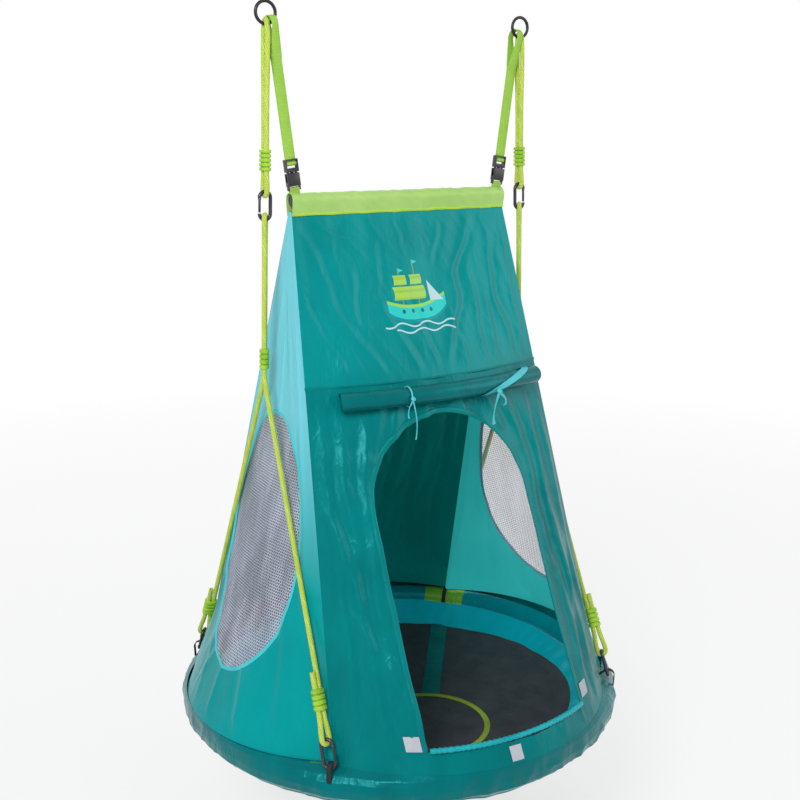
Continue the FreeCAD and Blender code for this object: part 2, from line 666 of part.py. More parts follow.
males = []
females = []
tabs = []
strap_x = hang_half_span - strap_inset
for side_name, sign in (("left", -1), ("right", 1)):
    ring = Part.makeTorus(steel_ring_radius, steel_rod / 2, V(sign * hang_half_span, 0, hang_height),
                          V(0, 1, 0))
    add("steel_ring_" + side_name, ring)
    add("top_strap_" + side_name, hang_left_or_right(strap_shape(), sign, strap_x))
    males.append(hang_left_or_right(male_shape(), sign, strap_x))
    females.append(hang_left_or_right(female_shape(), sign, strap_x))
    add("buckle_prong_outer_" + side_name, hang_left_or_right(prong_shape(1), sign, strap_x))
    add("buckle_prong_inner_" + side_name, hang_left_or_right(prong_shape(-1), sign, strap_x))
    tabs.append(hang_left_or_right(tab_shape(), sign, strap_x).cut(sleeve_round.fuse(sleeve_skirt)))
    for place, offset in (("outer", prong_x), ("inner", -prong_x)):
        lean = math.radians(strap_lean)
        px = strap_x + offset * math.cos(lean) - prong_root * math.sin(lean)
        pz = saddle_level - offset * math.sin(lean) - prong_root * math.cos(lean)
        print("prong", place, side_name, round(sign * px, 3), 0.0, round(pz - hang_height, 3))
add("buckle_males", *males)
add("buckle_females", *females)
add("ridge_tabs", *tabs)


# ---- snap hooks ---------------------------------------------------------------------------------
hook_half = (hook_width - hook_rod) / 2
bow_centre = (hook_length - hook_rod) / 2 - hook_half
gate_hinge_at = 13.0
gate_rod = 4.6
ear_gap = 0.15


def hook_body():
    """Snap hook in the XZ plane, centred on the origin, with its gate on the +X side."""
    upper = Part.Arc(V(hook_half, 0, bow_centre), V(0, 0, bow_centre + hook_half),
                     V(-hook_half, 0, bow_centre))
    lower = Part.Arc(V(-hook_half, 0, -bow_centre), V(0, 0, -bow_centre - hook_half),
                     V(hook_half, 0, -bow_centre))
    wire = Part.Wire([upper.toShape(), Part.makeLine(V(-hook_half, 0, bow_centre),
                                                     V(-hook_half, 0, -bow_centre)),
                      lower.toShape()])
    ring = Part.Wire(Part.makeCircle(hook_rod / 2, V(hook_half, 0, bow_centre), V(0, 0, 1)))
    body = wire.makePipeShell([ring], True, False)
    lug = box(hook_half - 2.2, hook_half + 2.2, -1.0, 1.0, gate_hinge_at - 2.0, bow_centre + 1.0)
    return body.fuse(lug).cut(Part.makeCylinder(0.75, 10, V(hook_half, -5, gate_hinge_at), V(0, 1, 0)))


def hook_gate():
    low = gate_hinge_at - gate_swing_length
    shank = Part.makeCylinder(gate_rod / 2, gate_swing_length + 0.4, V(hook_half, 0, low), up)
    slot = box(hook_half - 10, hook_half + 10, -1.0 - ear_gap, 1.0 + ear_gap, gate_hinge_at - 5.4,
               gate_hinge_at + 10)
    hole = Part.makeCylinder(0.75 + pin_gap, 10, V(hook_half, -5, gate_hinge_at), V(0, 1, 0))
    return shank.cut(slot).cut(hole)


def hook_pin():
    return Part.makeCylinder(0.75, gate_rod, V(hook_half, -gate_rod / 2, gate_hinge_at), V(0, 1, 0))


# ---- rope sliders -------------------------------------------------------------------------------
def stadium(half_long, half_wide, z0, z1):
    """A prism with two round ends, long in Y."""
    straight = half_long - half_wide
    core = box(-half_wide, half_wide, -straight, straight, z0, z1)
    ends = [Part.makeCylinder(half_wide, z1 - z0, V(0, sign * straight, z0), up) for sign in (-1, 1)]
    return core.fuse(ends[0]).fuse(ends[1]).removeSplitter()


def slider_shape():
    """A two-hole rope slider centred on the origin, holes along Z, side by side in Y."""
    half_long = pair_half + rope / 2 + slide_gap + slider_wall
    half_wide = rope / 2 + slide_gap + slider_wall
    half = slider_length / 2
    solid = stadium(half_long - ridge_out, half_wide - ridge_out, -half, half)
    ribs = ((half - 9.0, half), (4.6, 8.0), (-1.8, 1.6), (-8.2, -4.8), (-14.6, -11.2))
    for z0, z1 in ribs:
        solid = solid.fuse(stadium(half_long + 0.4, half_wide + rib_extra, z0, z1))
    for sign in (-1, 1):
        hole = Part.makeCylinder(rope / 2 + slide_gap, slider_length + 2, V(0, sign * pair_half, -half - 1),
                                 up)
        solid = solid.cut(hole)
    return solid.cut(box(-2.4, 2.4, -pair_half, pair_half, -half - 1, half + 1)).removeSplitter()


# ---- ropes --------------------------------------------------------------------------------------
lean_angle = math.atan(chain_lean / chain_drop)
hook_bight = hook_rod / 2 + rope / 2 + soft_gap
twisted_bight = 10.2
twisted_lift = 1.2
loop_bight = 9.2
loop_lift = 1.2
tail_out = 30.0

def report(name, base, axis):
    print(name, "at", [round(c, 3) for c in (base.x, base.y, base.z - hang_height)],
          "axis", [round(c, 5) for c in (axis.x, axis.y, axis.z)])


ring_loops = []
hook_parts = {"hook_body": [], "hook_gate": [], "hook_pin": []}
for side_name, sign in (("left", -1), ("right", 1)):
    saddle = V(sign * hang_half_span, 0, saddle_level)
    down = V(sign * math.sin(lean_angle), 0, -math.cos(lean_angle))
    out = V(sign * math.cos(lean_angle), 0, math.sin(lean_angle))
    chain = (out, V(0, 1, 0), down)

    def at(a, b, c):
        return frame_point(saddle, chain, a, b, c)

    hook_centre_at = saddle_level - hook_bottom_upper - hook_length / 2
    upper_bow = hook_centre_at - hook_length / 2 + hook_rod / 2
    lower_bow = hook_centre_at + hook_length / 2 - hook_rod / 2
    slider_at = saddle_level - upper_slider_level
    join_at = slider_at - 6.0
    bight_low = upper_bow + hook_bight
    # The upper rope is one loop, whose ends meet inside the slider.
    loop_points = [at(0, pair_half, join_at), at(0, pair_half, slider_at - 110),
                   at(0, ring_bight, slider_at - 160),
                   at(0, ring_bight, -ring_bight), at(0, -ring_bight, -ring_bight),
                   at(0, -ring_bight, slider_at - 160), at(0, -pair_half, slider_at - 110),
                   at(0, -pair_half, slider_at + 26), at(0, -hook_bight, slider_at + 40),
                   at(0, -hook_bight, bight_low), at(0, hook_bight, bight_low),
                   at(0, hook_bight, slider_at + 40),
                   at(0, pair_half, slider_at + 26), at(0, pair_half, join_at + 0.6)]
    loop_radii = [None, None, ring_bight, ring_bight, None, None, None, None, hook_bight, hook_bight, None,
                  None]
    add("upper_rope_" + side_name, rope_solid("upper_rope_" + side_name, loop_points, loop_radii, rope))
    slider = placed(slider_shape(), at(0, 0, slider_at), out * sign, V(0, 1, 0), down * -1)
    add("slider_upper_" + side_name, slider)
    report("slider_upper_" + side_name, at(0, 0, slider_at), down * -1)

    hook_frame = (out * sign, V(0, 1, 0), down * -1)
    hook_base = at(0, 0, hook_centre_at)
    # The gates face away from each other, outwards.
    spin = 0 if sign > 0 else 180
    for piece, maker in (("hook_body", hook_body), ("hook_gate", hook_gate), ("hook_pin", hook_pin)):
        shape = turned(maker(), origin, up, spin)
        hook_parts[piece].append(("upper_" + side_name, placed(shape, hook_base, *hook_frame)))
    gate_axis = V(0, 1, 0) * (1 if sign > 0 else -1)
    report("gate_upper_" + side_name, at(hook_half, 0, hook_centre_at - gate_hinge_at), gate_axis)

    # The lower rope hangs doubled on the hook and splits to the front and the back corner.
    twist = math.radians(strand_twist)
    across = V(math.sin(twist), math.cos(twist), 0)
    flat = (across - down * across.dot(down)).normalize()
    split_at = saddle_level - split_slider_level
    bight_top = lower_bow - twisted_bight + twisted_lift

    def pair(c, half):
        return saddle + down * c + flat * half

    half_rope = {}
    for end_name, y_sign in (("front", -1), ("back", 1)):
        foot = V(sign * hook_x, y_sign * hook_y, hook_foot_lower)
        split_point = pair(split_at + 34, y_sign * pair_half)
        rise = (split_point - foot).normalize()
        radial = V(sign * hook_x, y_sign * hook_y, 0).normalize()
        tangent = V(-radial.y, radial.x, 0)
        side_way = (tangent - rise * tangent.dot(rise)).normalize()
        normal = rise.cross(side_way).normalize()
        twist_way = math.radians(loop_twist) * (1 if y_sign * sign > 0 else -1)
        pair_way = (normal * math.cos(twist_way) + side_way * math.sin(twist_way)).normalize()
        if pair_way.dot(radial) > 0:
            pair_way = pair_way * -1
        top_bow = hook_length - hook_rod / 2
        low_slider = top_bow + 70.0

        def leg(along, half):
            return foot + rise * along + pair_way * half

        # The main strand runs on the inner side, the tail on the outer side.
        main_half = pair_half
        bight_base = top_bow - loop_bight + loop_lift
        half_rope[end_name] = [pair(lower_bow + 34, y_sign * pair_half), split_point,
                               leg(low_slider + 56, main_half), leg(low_slider - 33, main_half),
                               leg(top_bow + 14, loop_bight), leg(bight_base, loop_bight),
                               leg(bight_base, -loop_bight), leg(top_bow + 14, -loop_bight),
                               leg(low_slider - 33, -main_half),
                               leg(low_slider + slider_length / 2 + tail_out,
                                                                     -main_half)]
        label = end_name + "_" + side_name
        slider_frame = (pair_way.cross(rise).normalize(), pair_way, rise)
        add("slider_lower_" + label, placed(slider_shape(), leg(low_slider, 0), *slider_frame))
        report("slider_lower_" + label, leg(low_slider, 0), rise)
        lower_frame = (side_way, side_way.cross(rise).normalize() * -1, rise)
        base = leg(hook_length / 2, 0)
        for piece, maker in (("hook_body", hook_body), ("hook_gate", hook_gate), ("hook_pin", hook_pin)):
            hook_parts[piece].append(("lower_" + label, placed(maker(), base, *lower_frame)))
        report("gate_lower_" + label, base + side_way * hook_half + rise * gate_hinge_at, lower_frame[1])

        # A webbing loop round the ring comes out through the slit to the hook.
        eye_up = hook_foot_lower + hook_rod / 2 - nest_level
        eye_out = hook_corner_radius - nest_radius
        eye_radius = hook_rod / 2 + soft_gap + 7.8
        loop_width = 9.0
        hug = cover_outer + soft_gap

        def pear(extra):
            ring_part = Part.makeCylinder(hug + extra, loop_width, V(0, -loop_width / 2, 0), V(0, 1, 0))
            eye_part = Part.makeCylinder(eye_radius + extra, loop_width, V(eye_out, -loop_width / 2, eye_up),
                                         V(0, 1, 0))
            gap_length = math.hypot(eye_out, eye_up)
            way = math.atan2(eye_up, eye_out)
            spread = math.acos((hug - eye_radius) / gap_length)
            corners = []
            for turn_way in (spread, -spread):
                bearing = way + turn_way
                corners.append(V((hug + extra) * math.cos(bearing), -loop_width / 2,
                                 (hug + extra) * math.sin(bearing)))
                corners.append(V(eye_out + (eye_radius + extra) * math.cos(bearing), -loop_width / 2,
                                 eye_up + (eye_radius + extra) * math.sin(bearing)))
            fill = polygon([corners[0], corners[1], corners[3], corners[2]]).extrude(V(0, loop_width, 0))
            return ring_part.fuse(eye_part).fuse(fill).removeSplitter()

        strap_loop = pear(1.8).cut(pear(0.0))
        loop_frame = (radial, up.cross(radial), up)
        ring_loops.append(placed(strap_loop, radial * nest_radius + V(0, 0, nest_level), *loop_frame))

    route = [point for point in reversed(half_rope["front"])]
    route += [pair(bight_top, -twisted_bight), pair(bight_top, twisted_bight)]
    # Between the lower bow and the straight pair, the strands close up.
    front_in = pair(lower_bow + 12, -twisted_bight)
    back_in = pair(lower_bow + 12, twisted_bight)
    route = route[:10] + [front_in] + route[10:] + [back_in] + half_rope["back"]
    radii = [None] * (len(route) - 2)
    for index in (11, 12):
        radii[index - 1] = twisted_bight
    for index in (3, 4, len(route) - 5, len(route) - 4):
        radii[index - 1] = loop_bight
    for index, radius in ((7, 1500.0), (8, 60.0), (len(route) - 9, 60.0), (len(route) - 8, 1500.0)):
        radii[index - 1] = radius
    add("lower_rope_" + side_name, rope_solid("lower_rope_" + side_name, route, radii, rope))
    split = placed(slider_shape(), saddle + down * split_at, flat.cross(down * -1).normalize(), flat,
                   down * -1)
    add("slider_split_" + side_name, split)
    report("slider_split_" + side_name, saddle + down * split_at, down * -1)
    if side_name == "left":
        print("route points", [[round(c, 1) for c in (p.x, p.y, p.z - hang_height)] for p in route])

add("ring_loops", *ring_loops)
add("snap_hook_bodies", *[shape for label, shape in hook_parts["hook_body"]])
for label, shape in hook_parts["hook_gate"]:
    add("hook_gate_" + label, shape)
add("hook_gate_pins", *[shape for label, shape in hook_parts["hook_pin"]])

# ---- export -------------------------------------------------------------------------------------
os.makedirs("parts", exist_ok=True)
for name, shape in nodes.items():
    final = moved(shape, 0, 0, -hang_height)
    solids = final.Solids
    problem = "" if solids and all(s.isValid() and s.Volume > 0 for s in solids) else "  INVALID"
    print(name, "solids", len(solids), "volume", round(final.Volume / 1000, 2), "cm3" + problem)
    final.exportStep("parts/" + name + ".step")
print(len(nodes), "nodes")
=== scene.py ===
import math
import bpy
import bmesh
import numpy as np
from mathutils import Matrix, Vector, noise


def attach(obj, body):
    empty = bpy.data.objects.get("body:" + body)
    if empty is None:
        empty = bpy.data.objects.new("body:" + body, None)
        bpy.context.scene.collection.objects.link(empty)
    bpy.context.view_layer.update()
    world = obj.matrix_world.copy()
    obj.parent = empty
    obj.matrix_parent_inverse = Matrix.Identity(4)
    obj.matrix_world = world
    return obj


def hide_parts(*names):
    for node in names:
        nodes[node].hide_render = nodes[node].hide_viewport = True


# Saucer nest swing with its play tent, in metres. The middle of the two steel rings is the origin.
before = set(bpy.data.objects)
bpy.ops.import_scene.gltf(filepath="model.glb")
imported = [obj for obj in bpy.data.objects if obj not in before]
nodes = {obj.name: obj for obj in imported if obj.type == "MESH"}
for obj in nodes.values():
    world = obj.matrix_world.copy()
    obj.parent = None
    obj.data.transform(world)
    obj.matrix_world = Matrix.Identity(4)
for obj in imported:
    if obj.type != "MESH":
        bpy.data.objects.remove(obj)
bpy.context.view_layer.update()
seat = "swing_seat"
hangHeight = 1.316                      # the tent's sizes are measured from this far below the rings


# nodes written as sums
class Wire:
    def __init__(self, bench, socket):
        self.bench = bench
        self.socket = socket

    def sum(self, operation, *others):
        return self.bench.node("ShaderNodeMath", {"operation": operation}, {
            index: value for index, value in enumerate((self,) + others)})

    def __add__(self, other): return self.sum("ADD", other)
    def __radd__(self, other): return self.sum("ADD", other)
    def __sub__(self, other): return self.sum("SUBTRACT", other)
    def __rsub__(self, other): return self.sum("MULTIPLY_ADD", -1.0, other)
    def __mul__(self, other): return self.sum("MULTIPLY", other)
    def __rmul__(self, other): return self.sum("MULTIPLY", other)
    def __truediv__(self, other): return self.sum("DIVIDE", other)
    def __pow__(self, other): return self.sum("POWER", other)
    def __abs__(self): return self.sum("ABSOLUTE")
    def __lt__(self, other): return self.sum("LESS_THAN", other)
    def __gt__(self, other): return self.sum("GREATER_THAN", other)
    def sine(self): return self.sum("SINE")
    def most(self, other): return self.sum("MAXIMUM", other)

    def clamped(self):
        return self.bench.node("ShaderNodeClamp", {}, {"Value": self})


class Bench:
    def __init__(self, name, kind="materials"):
        self.owner = getattr(bpy.data, kind).new(name)
        self.owner.use_nodes = True
        self.tree = self.owner.node_tree
        self.shader = self.tree.nodes.get("Principled BSDF")

    def node(self, kind, settings=None, sockets=None, out=0):
        made = self.tree.nodes.new(kind)
        for key, value in (settings or {}).items():
            setattr(made, key, value)
        for key, value in (sockets or {}).items():
            self.feed(made.inputs[key], value)
        return Wire(self, made.outputs[out])

    def feed(self, socket, value):
        if isinstance(value, Wire):
            self.tree.links.new(value.socket, socket)
        elif isinstance(value, (tuple, list)):
            socket.default_value = tuple(value) + (1.0,) * (len(socket.default_value) - len(value))
        else:
            socket.default_value = value

    def place(self, source="Object"):
        return self.node("ShaderNodeTexCoord", out=source)

    def axes(self, place):
        first = self.node("ShaderNodeSeparateXYZ", {}, {0: place})
        return [Wire(self, socket) for socket in first.socket.node.outputs]

    def grain(self, place, scale, detail=2.0, rough=0.5):
        return self.node("ShaderNodeTexNoise", {}, {"Vector": place, "Scale": scale, "Detail": detail,
                                                    "Roughness": rough})

    def blend(self, factor, first, second):
        return self.node("ShaderNodeMix", {"data_type": "RGBA"}, {0: factor, 6: first, 7: second}, out=2)

    def mapped(self, place, scale, turn=0.0):
        turned = {"Vector": place, "Rotation": (0.0, turn, 0.0), "Scale": scale}
        return self.node("ShaderNodeMapping", {}, turned)

    def bump(self, height, strength, distance, under=None):
        sockets = {"Height": height, "Strength": strength, "Distance": distance}
        return self.node("ShaderNodeBump", {}, sockets if under is None else {**sockets, "Normal": under})

    def set(self, **values):
        for key, value in values.items():
            self.feed(self.shader.inputs[key.replace("_", " ")], value)
        return self.owner


def linear(red, green, blue):
    return tuple((c / 12.92 if c <= 0.04045 else ((c + 0.055) / 1.055) ** 2.4)
                 for c in (red / 255, green / 255, blue / 255))


# finishes
clothLook = {"weave": 1400.0, "weaveDepth": 0.0001, "long": 20.0, "longDepth": 0.0022, "short": 62.0,
             "shortDepth": 0.0011, "upright": (1.0, 1.0, 0.16), "slantScale": (1.0, 1.0, 0.3), "slant": 0.6,
             "broad": 6.0, "glossVary": 0.16}


def polyester(name, dark, pale, gloss=0.34, fade=None, drawing=None, crinkle=1.0, shine=(0.12, 0.85, 0.85),
              glow=None, mirror=0.5):
    # upright folds, slanting creases between them, and the plain weave
    bench = Bench(name)
    place = bench.place()
    x, y, z = bench.axes(place)
    u, v = bench.axes(bench.place("UV"))[:2]
    broad = bench.grain(place, clothLook["broad"], 3.0, 0.55)
    upright = bench.grain(bench.mapped(place, clothLook["upright"]), clothLook["long"], 3.0)
    slanted = bench.grain(bench.mapped(place, clothLook["slantScale"], clothLook["slant"]), clothLook["short"])
    folds = (1.0 - abs(upright - 0.5) * 7.0).clamped() ** 2.0
    creases = (1.0 - abs(slanted - 0.5) * 9.0).clamped() * (broad - 0.38).most(0.0) * 3.0
    threads = (u * clothLook["weave"]).sine() * (v * clothLook["weave"]).sine()
    # partly painted fold shade: upright also lifts the folds' bump, so the colour is paler on fold crests and
    # darker in the hollows; broad and the weave vary it at random
    tone = ((upright - 0.5) * 0.5 + (broad - 0.5) * 0.8 + 0.5 + threads * 0.03).clamped()
    color = bench.blend(tone, dark, pale)
    # painted light: the colour turns paler towards the top, standing in for light shining through the thin
    # cloth
    if fade:
        low, high, paintedLitColor = fade
        color = bench.blend(((z - low) / (high - low)).clamped(), color, paintedLitColor)
    if drawing:
        color = drawing(bench, x, z, color)
    soft = bench.bump(folds * 0.4 + upright, 0.4 * crinkle, clothLook["longDepth"])
    finer = bench.bump(creases, 0.35 * crinkle, clothLook["shortDepth"], soft)
    woven = bench.bump(threads, 0.25, clothLook["weaveDepth"], finer)
    made = bench.set(Base_Color=color, Normal=woven, Specular_IOR_Level=mirror, Specular_Tint=shine,
                     Roughness=gloss + (broad - 0.5) * clothLook["glossVary"] + threads * 0.02)
    # painted glow: the cloth gives off light of its own, standing in for light that reaches it
    if glow:
        bench.set(Emission_Color=glow[0], Emission_Strength=glow[1])
    return made


webbingLook = {"chevron": 1100.0, "edge": 1.7, "wear": 60.0, "gloss": 0.6, "depth": 0.0003}


def webbingFinish(name, dark, pale, rib=2600.0, across="x"):
    bench = Bench(name)
    place = bench.place()
    x, y, z = bench.axes(place)
    side = {"x": x, "y": y}[across]
    chevron = (z * rib + abs((side * webbingLook["chevron"]).sine()) * 2.2).sine()
    edge = (side * rib * webbingLook["edge"]).sine()
    worn = bench.grain(place, webbingLook["wear"], 4.0, 0.6)
    tone = (chevron * 0.3 + edge * 0.12 + (worn - 0.5) * 0.8 + 0.5).clamped()
    relief = bench.bump(chevron + edge * 0.4, 0.5, webbingLook["depth"])
    return bench.set(Base_Color=bench.blend(tone, dark, pale), Normal=relief, Specular_IOR_Level=0.3,
                     Roughness=webbingLook["gloss"] + (worn - 0.5) * 0.2)


mouldedLook = {"pits": 420.0, "clouds": 45.0, "scuffs": 300.0, "scuffScale": (3.0, 1.0, 0.4),
               "underColor": (0.006, 0.008, 0.002)}


def mouldedFinish(name, dark, pale, gloss=0.34, depth=0.0002, through=0.0):
    bench = Bench(name)
    place = bench.place()
    pitted = bench.grain(place, mouldedLook["pits"], 3.0, 0.6)
    cloudy = bench.grain(place, mouldedLook["clouds"])
    scuffed = bench.grain(bench.mapped(place, mouldedLook["scuffScale"]), mouldedLook["scuffs"])
    tone = ((cloudy - 0.5) * 1.6 + (scuffed - 0.5) * 0.5 + 0.5).clamped()
    return bench.set(Base_Color=bench.blend(tone, dark, pale), Roughness=gloss + (pitted - 0.5) * 0.16,
                     Normal=bench.bump(pitted, 0.4, depth), Subsurface_Weight=through,
                     Subsurface_Radius=mouldedLook["underColor"], Subsurface_Scale=1.0)


steelLook = {"spots": 260.0, "rubbed": 70.0, "wearFrom": 0.62, "depth": 0.00025}


def steelFinish(name, dark, pale, metallic, gloss):
    bench = Bench(name)
    place = bench.place()
    spots = bench.grain(place, steelLook["spots"], 4.0, 0.65)
    wear = ((bench.grain(place, steelLook["rubbed"], 3.0, 0.55) - steelLook["wearFrom"]) * 9.0).clamped()
    return bench.set(Base_Color=bench.blend(wear * 0.5 + spots * 0.3, dark, pale), Metallic=metallic,
                     Roughness=gloss + (spots - 0.5) * 0.25, Normal=bench.bump(spots, 0.35, steelLook["depth"]))


braidLook = {"strands": 8.0, "lay": 620.0, "tracers": 2.0, "tracerLay": 155.0, "depth": 0.0009, "dust": 40.0}
fullTurn = 6.2832


def braidFinish(name, dark, pale, tracer):
    bench = Bench(name)
    u, v = bench.axes(bench.place("UV"))[:2]
    around, run = u * fullTurn * braidLook["strands"], v * braidLook["lay"]
    plait = (around + run).sine().most((around - run).sine())
    dusty = bench.grain(bench.place(), braidLook["dust"], 3.0, 0.6)
    tone = (plait * 0.32 + (dusty - 0.5) * 0.8 + 0.5).clamped()
    strand = ((u * fullTurn * braidLook["tracers"] + v * braidLook["tracerLay"]).sine() > 0.93) * 0.55
    return bench.set(Base_Color=bench.blend(strand, bench.blend(tone, dark, pale), tracer),
                     Roughness=0.62 + (dusty - 0.5) * 0.2, Normal=bench.bump(plait, 0.75, braidLook["depth"]),
                     Sheen_Weight=0.15)


netLook = {"mesh": 610.0, "thread": 0.25, "cover": 0.8, "open": 0.7, "depth": 0.0003, "drapeSheen": (1.0, 1.0, 0.15)}


def netFinish(name, yarn):
    bench = Bench(name)
    u, v = bench.axes(bench.place("UV"))[:2]
    row = (v * netLook["mesh"]).sine()
    shifted = (u * netLook["mesh"] + (row > 0.0) * 1.5708).sine()
    gaps = [((abs(wave) - netLook["thread"]) * 6.0).clamped() for wave in (row, shifted)]
    tone = bench.grain(bench.mapped(bench.place(), netLook["drapeSheen"]), 28.0)
    # painted sheen: paler streaks of the same yarn along the drape
    color = bench.blend(((tone - 0.35) * 3.0).clamped(), yarn, tuple(c * 1.6 for c in yarn))
    return bench.set(Base_Color=color, Roughness=0.6,
                     Alpha=netLook["cover"] - gaps[0] * gaps[1] * netLook["open"],
                     Normal=bench.bump(row + shifted, 0.4, netLook["depth"]))


matLook = {"weave": 1300.0, "ribs": 2600.0, "dust": 24.0, "depth": 0.0005}


def matFinish(name, dark, pale):
    bench = Bench(name)
    place = bench.place()
    x, y, z = bench.axes(place)
    across = (x * matLook["weave"]).sine()
    woven = across * (y * matLook["weave"] + (across > 0.0) * 3.1416).sine()
    ribs = (x * matLook["ribs"] + 0.6).sine() * 0.4
    dusty = bench.grain(place, matLook["dust"], 4.0, 0.6)
    tone = (woven * 0.4 + (dusty - 0.5) * 1.0 + 0.45).clamped()
    return bench.set(Base_Color=bench.blend(tone, dark, pale), Roughness=0.62 + (dusty - 0.5) * 0.25,
                     Normal=bench.bump(woven + ribs, 0.6, matLook["depth"]), Specular_IOR_Level=0.3)


boat = {"x": -0.012, "z": -0.504, "unit": 0.08}      # where the printed boat sits, and half its width


def boatDrawing(bench, x, z, cloth):
    a = (x - boat["x"]) / boat["unit"]
    b = (z - boat["z"]) / boat["unit"]
    color = cloth

    def ink(mask, tint):
        nonlocal color
        color = bench.blend(mask, color, tint)

    def between(value, low, high):
        return ((value > low) * (value < high))

    deck = -0.22 + (a + 0.1) * (a + 0.1) * 0.26
    keel = -0.62 + abs(a + 0.02) ** 3.0 * 0.42
    hull = between(b - deck, -2.0, 0.0) * (b - keel > 0.0) * between(a, -0.8, 0.86)
    ink(hull, linear(52, 196, 190))
    ink(hull * (b - deck > -0.07), linear(150, 205, 70))
    ink(hull * ((b - keel) < 0.07), linear(20, 140, 145))
    for portX in (-0.4, -0.14, 0.12, 0.38):
        ink(((a - portX) * (a - portX) + (b + 0.36) * (b + 0.36) < 0.0022), linear(12, 96, 104))
    for mastX, top in ((-0.36, 0.62), (0.08, 0.8)):
        ink(between(a - mastX, -0.014, 0.014) * between(b, -0.2, top), linear(120, 150, 70))
        for low, tall, wide in ((-0.1, 0.3, 0.25), (0.24, 0.22, 0.19)):
            middle = low + tall / 2
            belly = a - mastX + (b - middle) * (b - middle) * 1.6
            sail = between(belly, -wide * 0.75, wide) * between(b, low, low + tall)
            ink(sail, linear(166, 204, 74))
            ink(sail * ((b - middle) * 34.0).sine().most(0.0) * 0.35, linear(110, 160, 60))
        ink(between(a - mastX, 0.014, 0.15) * (abs(b - top + 0.05) < (0.15 - (a - mastX)) * 0.35),
            linear(70, 200, 205))
    jib = (a > 0.42) * (b > -0.16) * ((a - 0.42) * 1.1 + (b + 0.16) * 0.9 < 0.42)
    ink(jib, linear(186, 212, 216))
    for level, shift in ((-0.66, 0.0), (-0.8, 1.4)):
        crest = level + (a * 9.0 + shift).sine() * 0.045
        ink((abs(b - crest) < 0.018) * between(a, -0.98 + shift * 0.2, 0.98), linear(186, 216, 222))
    return color


